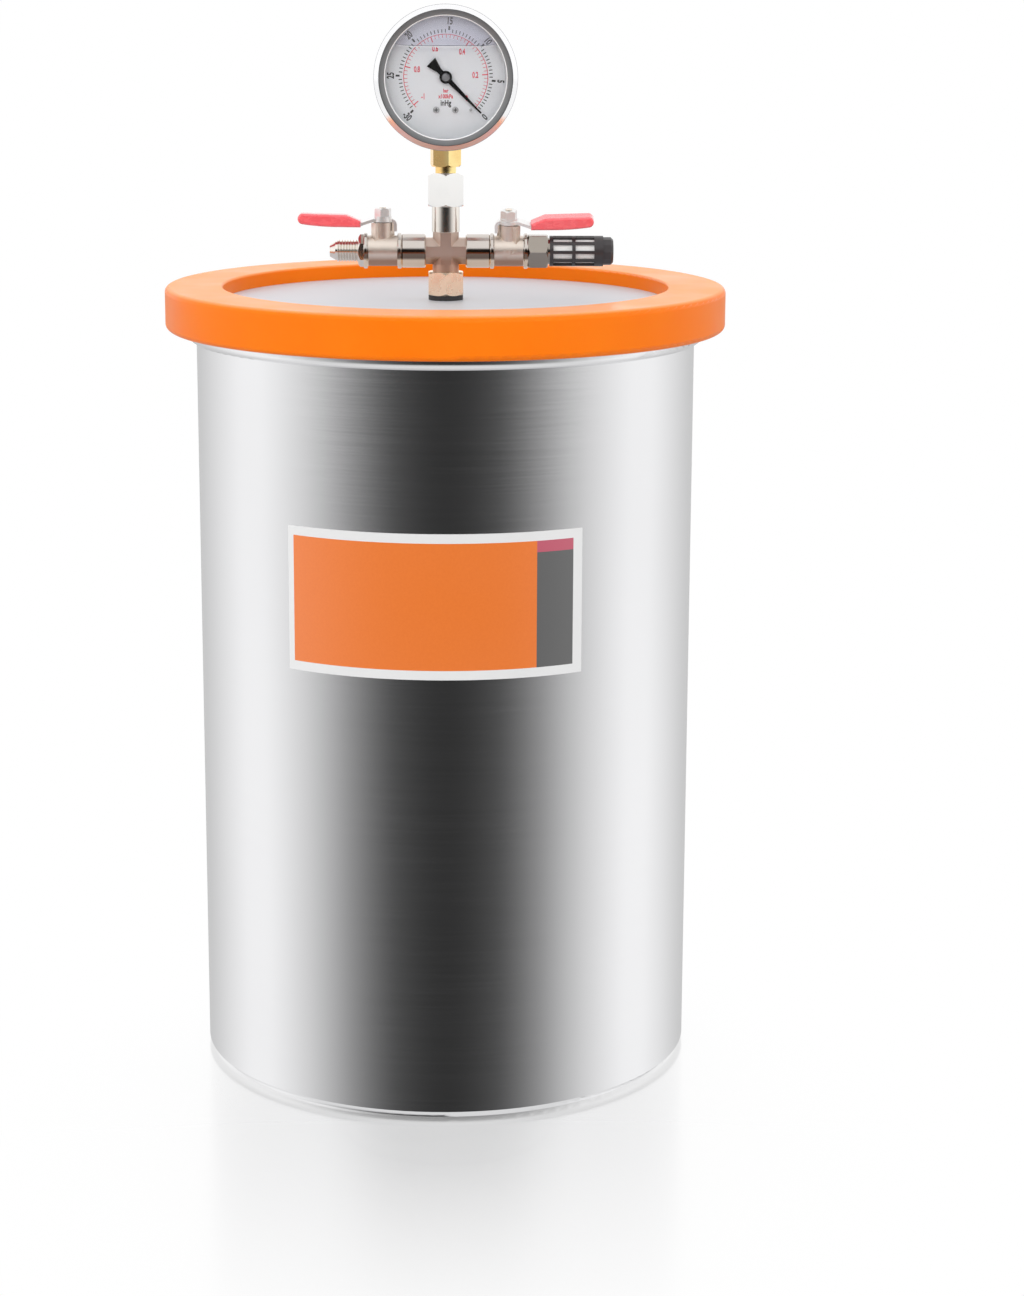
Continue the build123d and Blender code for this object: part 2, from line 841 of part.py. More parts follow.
        # Eye with two flats
        with BuildSketch(top_view.offset(plate_bottom)):
            Circle(valve_stem_diameter / 2 + thread_gap)
            Rectangle(valve_stem_diameter * 2, stem_flats + 2 * thread_gap, mode=Mode.INTERSECT)
        extrude(amount=strap_thickness, mode=Mode.SUBTRACT)
    write(lever, f"{name}_lever")

    with BuildPart() as lever_grip:
        extrude(grip_sketch, amount=strap_width / 2 + grip_coat, both=True)
        sides = lever_grip.faces().sort_by(Axis(side_view.origin, side_view.z_dir))
        fillet(sides[0].edges() + sides[-1].edges(), radius=grip_round)
        inside = channel_sketch.moved(Location(down * (strap_thickness + grip_coat)))
        inside_width = strap_width / 2 - strap_thickness - grip_coat
        extrude(inside, amount=inside_width, both=True, mode=Mode.SUBTRACT)
        add(lever.part, mode=Mode.SUBTRACT)
    write(lever_grip, f"{name}_lever_grip")

    with BuildPart() as lever_nut:
        flange_top = plate_top + nut_flange_height
        with BuildSketch(top_view.offset(plate_top)):
            RegularPolygon(nut_across / 2, 6, major_radius=False, rotation=nut_clocking)
        extrude(amount=nut_height)
        revolve(
            hex_blank(stem_line, plate_top - hex_overrun, plate_top + nut_height, nut_across),
            axis=stem_axis,
            mode=Mode.INTERSECT,
        )
        revolve(
            tube_profile(stem_line, plate_top, flange_top, 0, nut_flange_diameter / 2),
            axis=stem_axis,
        )
        with BuildSketch(top_view.offset(plate_top)):
            Circle(stem_thread_diameter / 2 + thread_gap)
        extrude(amount=nut_height, mode=Mode.SUBTRACT)
    write(lever_nut, f"{name}_lever_nut")


make_valve("left", -1, left_valve_lean)
make_valve("right", 1, right_valve_lean)

# ---------------------------------------------------------------- left outlet: flare fitting
outlet_x = valve_x + outer_face
spigot_radius = thread_radius
left_line = Plane(origin=(-outlet_x, 0, pipe_z), x_dir=(-1, 0, 0), z_dir=(0, 1, 0))
right_line = Plane(origin=(outlet_x, 0, pipe_z), x_dir=(1, 0, 0), z_dir=(0, -1, 0))

with BuildPart() as flare_fitting:
    shank_end = flare_hex_width + flare_shank_length
    thread_end = shank_end + flare_thread_length
    groove_end = thread_end + flare_groove_length
    nose_end = groove_end + flare_nose_length
    with BuildSketch(Plane(origin=left_line.origin, x_dir=(0, 1, 0), z_dir=(-1, 0, 0))):
        RegularPolygon(flare_across / 2, 6, major_radius=False, rotation=30)
    extrude(amount=flare_hex_width)
    revolve(
        hex_blank(left_line, -hex_overrun, flare_hex_width, flare_across),
        axis=pipe_axis,
        mode=Mode.INTERSECT,
    )
    flare_corners = [
        (outlet_end_gap - outlet_thread_depth, 0),
        (outlet_end_gap - outlet_thread_depth, spigot_radius),
        (flare_hex_width / 2, spigot_radius),
        (flare_hex_width / 2, flare_shank_diameter / 2),
        (shank_end, flare_shank_diameter / 2),
        (shank_end, flare_thread_diameter / 2),
        (thread_end, flare_thread_diameter / 2),
        (thread_end, flare_groove_diameter / 2),
        (groove_end, flare_groove_diameter / 2),
        (groove_end, flare_nose_diameter / 2),
        (nose_end, flare_tip_diameter / 2),
        (nose_end, 0),
    ]
    revolve(turned(left_line, flare_corners), axis=pipe_axis)
    revolve(
        tube_profile(left_line, -outlet_thread_depth, nose_end, 0, flare_bore / 2),
        axis=pipe_axis,
        mode=Mode.SUBTRACT,
    )
write(flare_fitting, "flare_fitting")

# ---------------------------------------------------------------- right outlet: air filter
neck_end = filter_hex_width + filter_neck_length
cage_end = neck_end + filter_cage_length
cap_end = cage_end + filter_cap_length
filter_radius = filter_diameter / 2
filter_bore = filter_radius - filter_wall

with BuildPart() as filter_adapter:
    with BuildSketch(Plane(origin=right_line.origin, x_dir=(0, 1, 0), z_dir=(1, 0, 0))):
        RegularPolygon(filter_hex_across / 2, 6, major_radius=False, rotation=0)
    extrude(amount=filter_hex_width)
    revolve(
        hex_blank(right_line, 0, filter_hex_width, filter_hex_across),
        axis=pipe_axis,
        mode=Mode.INTERSECT,
    )
    adapter_corners = [
        (outlet_end_gap - outlet_thread_depth, 0),
        (outlet_end_gap - outlet_thread_depth, spigot_radius),
        (filter_hex_width / 2, spigot_radius),
        (neck_end, spigot_radius),
        (neck_end, filter_bore - thread_gap),
        (neck_end + filter_rib, filter_bore - thread_gap),
        (neck_end + filter_rib, 0),
    ]
    revolve(turned(right_line, adapter_corners), axis=pipe_axis)
    revolve(
        tube_profile(right_line, -outlet_thread_depth, neck_end + filter_rib, 0, air_bore / 2),
        axis=pipe_axis,
        mode=Mode.SUBTRACT,
    )
write(filter_adapter, "filter_adapter")

with BuildPart() as filter_cage:
    revolve(tube_profile(right_line, neck_end, cage_end, filter_bore, filter_radius), axis=pipe_axis)
    # Two rows of windows round the cage
    for row in range(2):
        window_start = neck_end + filter_rib + row * (filter_window_length + filter_rib)
        window_width = filter_diameter * math.sin(math.radians(filter_window_angle / 2))
        middle = Vector(outlet_x + window_start + filter_window_length / 2, 0, pipe_z)
        for number in range(filter_window_count // 2):
            turn = number * 360 / filter_window_count
            out = Vector(0, 0, 1).rotate(Axis.X, turn)
            with BuildSketch(Plane(origin=middle, x_dir=(1, 0, 0), z_dir=out)):
                Rectangle(filter_window_length, window_width)
            extrude(amount=filter_radius + cut_overrun, both=True, mode=Mode.SUBTRACT)
write(filter_cage, "filter_cage")

with BuildPart() as filter_element:
    element_radius = filter_bore - thread_gap
    element_bore = element_radius - filter_element_wall
    element_start = neck_end + filter_rib
    revolve(
        tube_profile(right_line, element_start, cage_end, element_bore, element_radius),
        axis=pipe_axis,
    )
write(filter_element, "filter_element")

with BuildPart() as filter_cap:
    step = filter_cap_length / 3
    cap_corners = [
        (cage_end, 0),
        (cage_end, filter_radius),
        (cage_end + step, filter_radius),
        (cage_end + step, filter_cap_diameter / 2),
        (cap_end - step / 2, filter_cap_diameter / 2),
        (cap_end, filter_cap_diameter / 2 - step / 2),
        (cap_end, 0),
    ]
    revolve(turned(right_line, cap_corners), axis=pipe_axis)
    # Grip flats round the cap
    cap_plane = Plane(origin=right_line.origin, x_dir=(0, 1, 0), z_dir=(1, 0, 0))
    with BuildSketch(cap_plane.offset(cage_end + step)):
        Circle(filter_radius)
        RegularPolygon(filter_cap_flats / 2, 12, major_radius=False, mode=Mode.SUBTRACT)
    extrude(amount=filter_cap_length, mode=Mode.SUBTRACT)
write(filter_cap, "filter_cap")

# ---------------------------------------------------------------- gauge: brass socket and case
gauge_axis = axis_of(gauge_line)
case_radius = case_diameter / 2
case_bore = case_radius - case_wall
case_rim_radius = case_radius + case_rim_reach
tube_radius = case_bore - tube_case_gap
gap_back = plate_depth - plate_spacing
gear_depth = (gap_back + plate_depth) / 2
block_bottom_z = gauge_z - case_bore + block_rise
block_top_z = block_bottom_z + block_height


def tube_section(angle, height, thickness):
    """The flat oval across the pressure tube, where it crosses this angle round the gauge."""
    turn = math.radians(angle)
    across = Vector(-math.sin(turn), 0, math.cos(turn))
    section = Plane(origin=gauge_line.origin, x_dir=gauge_line.x_dir, z_dir=across)
    with BuildSketch(section) as oval:
        with Locations((gear_depth, tube_radius)):
            SlotOverall(height, thickness)
    return oval.sketch


with BuildPart() as gauge_socket:
    with BuildSketch(Plane.XY.offset(socket_hex_z)):
        RegularPolygon(
            socket_across / 2, 6, major_radius=False, rotation=30 + socket_hex_clocking
        )
    extrude(amount=socket_hex_height)
    revolve(
        hex_blank(upright, socket_hex_z, socket_hex_z + socket_hex_height, socket_across),
        axis=Axis.Z,
        mode=Mode.INTERSECT,
    )
    thread_start_z = socket_z - (coupling_height - thread_depth) + thread_end_gap
    socket_thread_radius = socket_thread_diameter / 2
    revolve(
        tube_profile(upright, thread_start_z, socket_hex_z, 0, socket_thread_radius),
        axis=Axis.Z,
    )
    # Neck through the case wall and the block that carries the tube and the movement
    revolve(
        tube_profile(upright, socket_hex_z, block_bottom_z, 0, socket_thread_radius),
        axis=Axis.Z,
    )
    with BuildSketch(Plane.XY.offset(block_bottom_z)):
        with Locations((0, -gear_depth)):
            Rectangle(block_width, plate_spacing)
    extrude(amount=block_height)
    # Slot that the pressure tube is soldered into
    slot_start = tube_start_angle - solder_angle
    revolve(
        tube_section(slot_start, tube_height, tube_flat),
        axis=gauge_axis,
        revolution_arc=tube_start_angle - slot_start,
        mode=Mode.SUBTRACT,
    )
    revolve(
        tube_profile(upright, thread_start_z, block_bottom_z + block_bore_depth, 0, air_bore / 4),
        axis=Axis.Z,
        mode=Mode.SUBTRACT,
    )
write(gauge_socket, "gauge_socket")

with BuildPart() as gauge_case:
    case_corners = [
        (-case_back, 0),
        (-case_back, case_radius),
        (case_rim_depth - case_wall, case_radius),
        (case_rim_depth - case_wall, case_rim_radius),
        (case_rim_depth, case_rim_radius),
        (case_rim_depth, case_bore),
        (case_wall - case_back, case_bore),
        (case_wall - case_back, 0),
    ]
    revolve(turned(gauge_line, case_corners), axis=gauge_axis)
    back_edge = gauge_case.edges().filter_by(GeomType.CIRCLE).sort_by(Axis.Y)[-1]
    fillet(back_edge, radius=case_back_round)
    with BuildSketch(Plane.XY.offset(gauge_z - case_radius - cut_overrun)):
        Circle(socket_thread_diameter / 2 + thread_gap)
    extrude(amount=case_radius, mode=Mode.SUBTRACT)
    # Filling hole at the top
    with BuildSketch(Plane.XY.offset(gauge_z)):
        with Locations((0, plug_offset)):
            Circle(plug_diameter / 2)
    extrude(amount=case_radius + cut_overrun, mode=Mode.SUBTRACT)
write(gauge_case, "gauge_case")

with BuildPart() as gauge_fill_plug:
    with BuildSketch(Plane.XY.offset(gauge_z + case_bore - plug_inside)):
        with Locations((0, plug_offset)):
            Circle(plug_diameter / 2 - thread_gap)
    extrude(amount=plug_inside + case_wall + plug_outside)
    top_edge = gauge_fill_plug.edges().sort_by(Axis.Z)[-1]
    fillet(top_edge, radius=plug_round)
write(gauge_fill_plug, "gauge_fill_plug")

# Sealing ring, window and crimped bezel, stacked on the case rim
window_back = case_rim_depth + seal_thickness
window_front = window_back + window_thickness
window_radius = case_rim_radius

with BuildPart() as gauge_window_seal:
    revolve(
        tube_profile(gauge_line, case_rim_depth, window_back, case_bore, window_radius),
        axis=gauge_axis,
    )
write(gauge_window_seal, "gauge_window_seal")

with BuildPart() as gauge_window:
    with BuildSketch(gauge_face.offset(window_back)):
        Circle(window_radius)
    extrude(amount=window_thickness)
write(gauge_window, "gauge_window")

with BuildPart() as gauge_bezel:
    skirt_bore = window_radius + thread_gap
    skirt = skirt_bore + bezel_wall
    opening = case_bore - bezel_lap
    crimp_front = case_rim_depth - case_wall - thread_gap
    bezel_corners = [
        (crimp_front - bezel_sheet, case_radius + crimp_gap),
        (crimp_front - bezel_sheet, skirt),
        (bezel_front - bezel_bevel, skirt),
        (bezel_front, skirt - bezel_bevel),
        (bezel_front, skirt - bezel_bevel - bezel_flat),
        (window_front + bezel_lip, opening),
        (window_front, opening),
        (window_front, skirt_bore),
        (crimp_front, skirt_bore),
        (crimp_front, case_radius + crimp_gap),
    ]
    revolve(turned(gauge_line, bezel_corners), axis=gauge_axis)
    front_edges = gauge_bezel.edges().filter_by(GeomType.CIRCLE).sort_by(Axis.Y)
    fillet(front_edges[0], radius=bezel_edge_round)
write(gauge_bezel, "gauge_bezel")

# ---------------------------------------------------------------- gauge: dial and pointer
screw_spots = [(-screw_spread, -screw_drop), (screw_spread, -screw_drop)]
spindle_radius = arbor_diameter / 2 - shaft_gap
plate_front = plate_depth + plate_thickness

with BuildPart() as gauge_dial:
    with BuildSketch(gauge_face.offset(dial_depth)):
        Circle(case_bore - dial_gap)
        Circle(arbor_diameter / 2 + dial_bore_gap, mode=Mode.SUBTRACT)
        with Locations(screw_spots):
            Circle(screw_diameter / 2 + thread_gap, mode=Mode.SUBTRACT)
    extrude(amount=dial_thickness)
write(gauge_dial, "gauge_dial")

with BuildPart() as gauge_dial_screws:
    dial_front = dial_depth + dial_thickness
    with BuildSketch(gauge_face.offset(dial_front)):
        with Locations(screw_spots):
            Circle(screw_head_diameter / 2)
    extrude(amount=screw_head_height)
    with BuildSketch(gauge_face.offset(plate_front)):
        with Locations(screw_spots):
            Circle(screw_diameter / 2)
    extrude(amount=dial_front - plate_front)
write(gauge_dial_screws, "gauge_dial_screws")

stop_angle = math.radians(pointer_rest_angle - stop_pin_angle)
stop_spot = (stop_pin_reach * math.cos(stop_angle), stop_pin_reach * math.sin(stop_angle))

with BuildPart() as gauge_stop_pin:
    with BuildSketch(gauge_face.offset(dial_front)):
        with Locations(stop_spot):
            Circle(stop_pin_diameter / 2)
    extrude(amount=stop_pin_height)
write(gauge_stop_pin, "gauge_stop_pin")

pointer_depth = dial_front + pointer_lift
with BuildPart() as gauge_pointer:
    half_root = pointer_root_width / 2
    half_tip = pointer_tip_width / 2
    half_flare = pointer_tail_width / 2
    with BuildSketch(gauge_face.offset(pointer_depth)):
        with BuildLine():
            Polyline(
                (0, half_root),
                (pointer_length, half_tip),
                (pointer_length, -half_tip),
                (0, -half_root),
                (-pointer_neck, -half_root),
                (-pointer_tail, -half_flare),
                (-pointer_tail, half_flare),
                (-pointer_neck, half_root),
                close=True,
            )
        make_face()
    extrude(amount=pointer_thickness)
    with BuildSketch(gauge_face.offset(pointer_depth)):
        Circle(pointer_hub_diameter / 2)
    extrude(amount=pointer_thickness + pointer_hub_rise)
    with BuildSketch(gauge_face.offset(pointer_depth)):
        Circle(spindle_radius)
    extrude(amount=pointer_thickness + pointer_hub_rise, mode=Mode.SUBTRACT)
gauge_pointer.part = gauge_pointer.part.rotate(gauge_axis, pointer_rest_angle)
write(gauge_pointer, "gauge_pointer")

# ---------------------------------------------------------------- gauge: movement
pinion_radius = gear_module * pinion_teeth / 2
sector_radius = gear_module * sector_teeth / 2
pivot_drop = pinion_radius + sector_radius


def tooth_outline(radius, lash):
    """One straight-sided gear tooth on the +X side of a wheel of this pitch radius."""
    root = radius - tooth_fall - tooth_root_sink
    tip = radius + tooth_rise
    half_pitch = math.pi * gear_module / 4
    half_tip = half_pitch * tooth_tip_share
    return [
        (root, half_pitch + tooth_root_flare - lash),
        (radius, half_pitch - lash),
        (tip, half_tip - lash),
        (tip, lash - half_tip),
        (radius, lash - half_pitch),
        (root, lash - half_pitch - tooth_root_flare),
    ]


with BuildPart() as gauge_pinion:
    with BuildSketch(gauge_face.offset(gear_depth - gear_width / 2)) as pinion_sketch:
        Circle(pinion_radius - tooth_fall)
        with PolarLocations(0, pinion_teeth):
            Polygon(*tooth_outline(pinion_radius, gear_lash), align=None)
    extrude(amount=gear_width)
    with BuildSketch(gauge_face.offset(gap_back - plate_thickness)):
        Circle(spindle_radius)
    spindle_end = pointer_depth + pointer_thickness + spindle_past_pointer
    extrude(amount=spindle_end - gap_back + plate_thickness)
    # Collet that the hairspring's inner end is pinned to
    with BuildSketch(gauge_face.offset(hairspring_depth)):
        Circle(collet_radius)
    extrude(amount=hairspring_height)
write(gauge_pinion, "gauge_pinion")

pivot = Vector(0, -pivot_drop)
tooth_pitch = 360 / sector_teeth
tail_angle = sector_swing / 2
tail_spot = pivot + Vector(tail_radius, 0).rotate(Axis.Z, tail_angle)

with BuildPart() as gauge_sector:
    rim_outer = sector_radius - tooth_fall
    rim_inner = rim_outer - sector_rim_width
    rim_from = mesh_angle - spare_teeth / 2 * tooth_pitch
    rim_to = mesh_angle + sector_swing + spare_teeth / 2 * tooth_pitch
    with BuildSketch(gauge_face.offset(gear_depth - sector_thickness / 2)):
        with Locations(pivot):
            Circle(sector_hub_diameter / 2)
            # Toothed rim, two spokes and the tail
            with BuildLine(mode=Mode.PRIVATE) as rim_line:
                outer_arc = CenterArc((0, 0), rim_outer, rim_from, rim_to - rim_from)
                inner_arc = CenterArc((0, 0), rim_inner, rim_from, rim_to - rim_from)
                Line(outer_arc @ 0, inner_arc @ 0)
                Line(outer_arc @ 1, inner_arc @ 1)
            add(make_face(rim_line.line, mode=Mode.PRIVATE))
        for spoke_angle in (rim_from + spoke_inset, rim_to - spoke_inset):
            middle = pivot + Vector(rim_inner / 2 + spoke_shift, 0).rotate(Axis.Z, spoke_angle)
            with Locations(Location((middle.X, middle.Y), spoke_angle)):
                Rectangle(rim_inner - spoke_shift, spoke_width)
        tail_middle = (pivot + tail_spot) / 2
        with Locations(Location((tail_middle.X, tail_middle.Y), tail_angle)):
            SlotCenterToCenter(tail_radius, tail_width)
        first_tooth = mesh_angle - (spare_teeth - 1) / 2 * tooth_pitch
        tooth_count = round(sector_swing / tooth_pitch) + spare_teeth
        for number in range(tooth_count):
            with Locations(Location((pivot.X, pivot.Y), first_tooth + number * tooth_pitch)):
                Polygon(*tooth_outline(sector_radius, gear_lash), align=None)
    extrude(amount=sector_thickness)
    with BuildSketch(gauge_face.offset(gap_back - plate_thickness)):
        with Locations(pivot):
            Circle(spindle_radius)
    extrude(amount=plate_spacing + 2 * plate_thickness)
    # Pin that the link hooks over
    with BuildSketch(gauge_face.offset(gear_depth)):
        with Locations(tail_spot):
            Circle(pin_diameter / 2)
    extrude(amount=link_depth + link_thickness + pin_past_link - gear_depth)
write(gauge_sector, "gauge_sector")

tip_drop = pivot_drop
tip_spot = Vector(math.sqrt(tube_radius**2 - tip_drop**2), -tip_drop)

with BuildPart() as gauge_link:
    link_vector = tip_spot - tail_spot
    longest = link_vector.length
    shortest = tip_spot.X - tail_radius
    slot_travel = longest - shortest + link_slot_spare
    slot_middle = (longest + shortest) / 2
    link_angle = math.degrees(math.atan2(link_vector.Y, link_vector.X))
    link_plane = Plane(
        origin=gauge_face.from_local_coords(tail_spot),
        x_dir=Vector(1, 0, 0).rotate(Axis((0, 0, 0), (0, -1, 0)), link_angle),
        z_dir=gauge_face.z_dir,
    )
    with BuildSketch(link_plane.offset(link_depth)):
        Circle(link_eye_diameter / 2)
        with Locations((longest / 2, 0)):
            Rectangle(longest, link_width)
        with Locations((slot_middle, 0)):
            SlotCenterToCenter(slot_travel, link_slot_width)
            SlotCenterToCenter(slot_travel, pin_diameter + link_slot_gap, mode=Mode.SUBTRACT)
        Circle(pin_diameter / 2 + shaft_gap, mode=Mode.SUBTRACT)
    extrude(amount=link_thickness)
write(gauge_link, "gauge_link")

with BuildPart() as gauge_tube:
    tube_sweep = tube_start_angle - tube_end_angle
    revolve(
        tube_section(tube_end_angle, tube_height, tube_flat),
        axis=gauge_axis,
        revolution_arc=tube_sweep,
    )
    revolve(
        tube_section(tube_end_angle, tube_height - 2 * tube_wall, tube_flat - 2 * tube_wall),
        axis=gauge_axis,
        revolution_arc=tube_sweep,
        mode=Mode.SUBTRACT,
    )
write(gauge_tube, "gauge_tube")

with BuildPart() as gauge_tube_tip:
    tip_angle = -math.degrees(math.asin(tip_drop / tube_radius))
    revolve(
        tube_section(tube_end_angle - tip_cap_angle, tube_height, tube_flat),
        axis=gauge_axis,
        revolution_arc=tip_cap_angle,
    )
    ear_back = gear_depth - tube_height / 2 + ear_lap
    ear_front = link_depth - ear_gap
    ear_end = tip_angle - ear_lap_angle
    ear_plane = Plane(
        origin=gauge_line.origin,
        x_dir=gauge_line.x_dir,
        z_dir=Vector(0, 0, 1).rotate(Axis((0, 0, 0), (0, -1, 0)), ear_end),
    )
    with BuildSketch(ear_plane):
        with Locations(((ear_back + ear_front) / 2, tube_radius)):
            Rectangle(ear_front - ear_back, tube_flat)
    revolve(axis=gauge_axis, revolution_arc=tube_end_angle - tip_cap_angle - ear_end)
    with BuildSketch(gauge_face.offset(ear_front)):
        with Locations(tip_spot):
            Circle(pin_diameter / 2)
    extrude(amount=ear_gap + link_thickness + tip_pin_past_link)
write(gauge_tube_tip, "gauge_tube_tip")

plate_bottom_edge = block_top_z - gauge_z - plate_lap
pillar_spots = [(-pillar_spread, pillar_rise), (pillar_spread, pillar_rise)]

with BuildPart() as gauge_plates:
    plate_height = plate_top_edge - plate_bottom_edge
    for depth in (gap_back - plate_thickness, plate_depth):
        with BuildSketch(gauge_face.offset(depth)):
            with Locations((0, plate_bottom_edge + plate_height / 2)):
                RectangleRounded(plate_width, plate_height, plate_corner)
            with Locations((0, 0), pivot):
                Circle(arbor_diameter / 2, mode=Mode.SUBTRACT)
        extrude(amount=plate_thickness)
    # Posts under the dial and the stud at the hairspring's outer end
    with BuildSketch(gauge_face.offset(plate_front)):
        with Locations(screw_spots):
            Circle(screw_head_diameter / 2)
            Circle(screw_diameter / 2 + thread_gap, mode=Mode.SUBTRACT)
    extrude(amount=dial_depth - plate_front)
    with BuildSketch(gauge_face.offset(hairspring_depth)):
        with Locations((hairspring_outer_radius + (hairspring_strip + stud_diameter) / 2, 0)):
            Circle(stud_diameter / 2)
    extrude(amount=plate_depth - hairspring_depth)
write(gauge_plates, "gauge_plates")

with BuildPart() as gauge_pillars:
    with BuildSketch(gauge_face.offset(gap_back)):
        with Locations(pillar_spots):
            Circle(pillar_diameter / 2)
    extrude(amount=plate_spacing)
write(gauge_pillars, "gauge_pillars")

with BuildPart() as gauge_hairspring:
    half_turns = 2 * hairspring_turns
    inner_end = collet_radius + hairspring_start_gap
    growth = (hairspring_outer_radius - inner_end) / half_turns
    centre_radii = [inner_end + growth * number for number in range(half_turns + 1)]
    with BuildSketch(gauge_face.offset(hairspring_depth)):
        for number in range(half_turns):
            start = centre_radii[number] * (-1) ** number
            end = -centre_radii[number + 1] * (-1) ** number
            centre = (start + end) / 2
            sweep_radius = abs(start - end) / 2
            with Locations((centre, 0)):
                with BuildLine(mode=Mode.PRIVATE) as half_turn:
                    first = 0 if start > 0 else 180
                    outer = CenterArc((0, 0), sweep_radius + hairspring_strip / 2, first, 180)
                    inner = CenterArc((0, 0), sweep_radius - hairspring_strip / 2, first, 180)
                    Line(outer @ 0, inner @ 0)
                    Line(outer @ 1, inner @ 1)
                add(make_face(half_turn.line, mode=Mode.PRIVATE))
    extrude(amount=hairspring_height)
write(gauge_hairspring, "gauge_hairspring")
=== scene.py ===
"""Looks of the vacuum chamber: finishes, gauge print, thread, label fields, light and camera.

Metres in the frame's own places, +Z up, the gauge facing -Y. Angles are in degrees.
"""
import json
import math

import bmesh
import bpy
from mathutils import Matrix, Vector


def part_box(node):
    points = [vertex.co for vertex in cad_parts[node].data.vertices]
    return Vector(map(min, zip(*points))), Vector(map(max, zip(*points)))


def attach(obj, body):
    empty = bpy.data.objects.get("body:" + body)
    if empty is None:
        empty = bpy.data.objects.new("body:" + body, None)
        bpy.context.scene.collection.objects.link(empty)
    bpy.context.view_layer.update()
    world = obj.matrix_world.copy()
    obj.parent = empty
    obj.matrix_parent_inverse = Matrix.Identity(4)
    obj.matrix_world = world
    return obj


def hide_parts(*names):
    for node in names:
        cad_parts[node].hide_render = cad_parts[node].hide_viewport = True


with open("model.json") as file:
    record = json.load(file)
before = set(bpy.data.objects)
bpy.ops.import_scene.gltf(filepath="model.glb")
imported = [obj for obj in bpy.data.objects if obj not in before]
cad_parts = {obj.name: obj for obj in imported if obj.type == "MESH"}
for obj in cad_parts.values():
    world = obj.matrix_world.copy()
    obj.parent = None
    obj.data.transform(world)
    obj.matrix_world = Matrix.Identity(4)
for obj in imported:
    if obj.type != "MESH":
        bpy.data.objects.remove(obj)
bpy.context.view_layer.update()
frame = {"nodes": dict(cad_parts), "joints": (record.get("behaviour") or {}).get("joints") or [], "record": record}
MM = 0.001

# ---------------------------------------------------------------- places read from the frame
LABEL_LOW, LABEL_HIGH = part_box("label")
RING_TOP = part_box("lid_gasket")[1].z
DIAL_LOW, DIAL_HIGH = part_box("gauge_dial")
DIAL_FRONT = DIAL_LOW.y
DIAL_Z = (DIAL_LOW.z + DIAL_HIGH.z) / 2
WINDOW_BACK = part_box("gauge_window")[1].y
JOINTS = {joint["name"]: joint for joint in frame["joints"]}
PIPE_Z = JOINTS["left_valve_turn"]["pos_m"][2]
VALVE_X = JOINTS["right_valve_turn"]["pos_m"][0]

# ---------------------------------------------------------------- sizes of prints and pieces made here
# Label: white border, with a panel at its right end that has a heading block on top
LABEL_BORDER = 4.5 * MM
LABEL_LEFT_BORDER = 3.2 * MM
LABEL_RIGHT_BORDER = 5.0 * MM
LABEL_PANEL_WIDTH = 19.2 * MM
LABEL_HEADING_HEIGHT = 5.5 * MM

# How far the rough casting reaches: on the cross from its middle, on a valve from its stem
CROSS_CAST_REACH = 10.05 * MM
CROSS_CAST_TOP = 9.65 * MM
VALVE_CAST_REACH = 7.2 * MM
BARREL_RADIUS = 7.6 * MM

# Bezel, outwards from the gauge's axis: white lip, dark satin band, a thin line of painted shade at the corner,
# mirror bevel, grey rim
BEZEL_LIP_RADIUS = 30.2 * MM
BEZEL_BAND_RADIUS = 32.75 * MM
BEZEL_CORNER_RADIUS = 32.95 * MM
BEZEL_RIM_RADIUS = 35.2 * MM

# Dial print: the black scale runs in inches of mercury and the red one in bar
INK_THICKNESS = 0.04 * MM
SCALE_START = -45.0
SCALE_SWEEP = 270.0
SCALE_CROWDING = 4.8
INCHES = 30
INCHES_PER_NUMBER = 5
INCHES_PER_BAR = 29.53
BAR_DIVISIONS = 50
BAR_DIVISIONS_PER_NUMBER = 10
# Each mark has an inner radius, an outer radius and a width
BLACK_MARK = (21.5 * MM, 23.2 * MM, 0.44 * MM)
BLACK_MAIN_MARK = (22.7 * MM, 24.6 * MM, 0.9 * MM)
RED_MARK = (18.9 * MM, 20.6 * MM, 0.25 * MM)
RED_MAIN_MARK = (17.9 * MM, 20.6 * MM, 0.5 * MM)
RED_ARC_RADIUS = 20.7 * MM
RED_ARC_WIDTH = 0.32 * MM
INCH_NUMBER_RADIUS = 27.0 * MM
INCH_NUMBER_SIZE = 4.7 * MM
INCH_NUMBER_NARROWING = 0.66
BAR_NUMBER_RADIUS = 14.6 * MM
BAR_NUMBER_SIZE = 3.9 * MM
# Each unit's text, how far below the dial's middle it stands and its size
RED_UNITS = (("bar", 6.6 * MM, 2.6 * MM), ("x100kPa", 9.4 * MM, 2.8 * MM))
BLACK_UNIT = ("inHg", 12.6 * MM, 3.7 * MM)
UNIT_NARROWING = 0.75

# Pointer's cap: how far it covers the spindle; slots of the cross recesses in the dial's screws
CAP_COVER = 0.15 * MM
SLOT_WIDTH = 0.42 * MM
SLOT_SHARE_OF_HEAD = 0.62

# Liquid behind the window: its level over the dial's middle and the radius of the space it fills
LEVEL = 15.6 * MM
POCKET_RADIUS = 29.6 * MM
POCKET_GAP = 0.25 * MM
POCKET_THICKNESS = 0.15 * MM
FILM_CLEARNESS = 0.94
LINE_GAP = 0.5 * MM
LINE_DEPTH = 0.2 * MM
LINE_SHARE = 0.985
MENISCUS_RISE = 1.0 * MM

# Flare fitting's thread, between its shank and the groove behind the nose
FLARE_PITCH = 1.4 * MM
FLARE_DEPTH = 0.8 * MM
FLARE_CREST = 5.55 * MM
FLARE_SHANK = 5.8 * MM
FLARE_SLACK = 0.03 * MM
THREAD_STEPS_AROUND = 72
THREAD_STEPS_PER_PITCH = 12

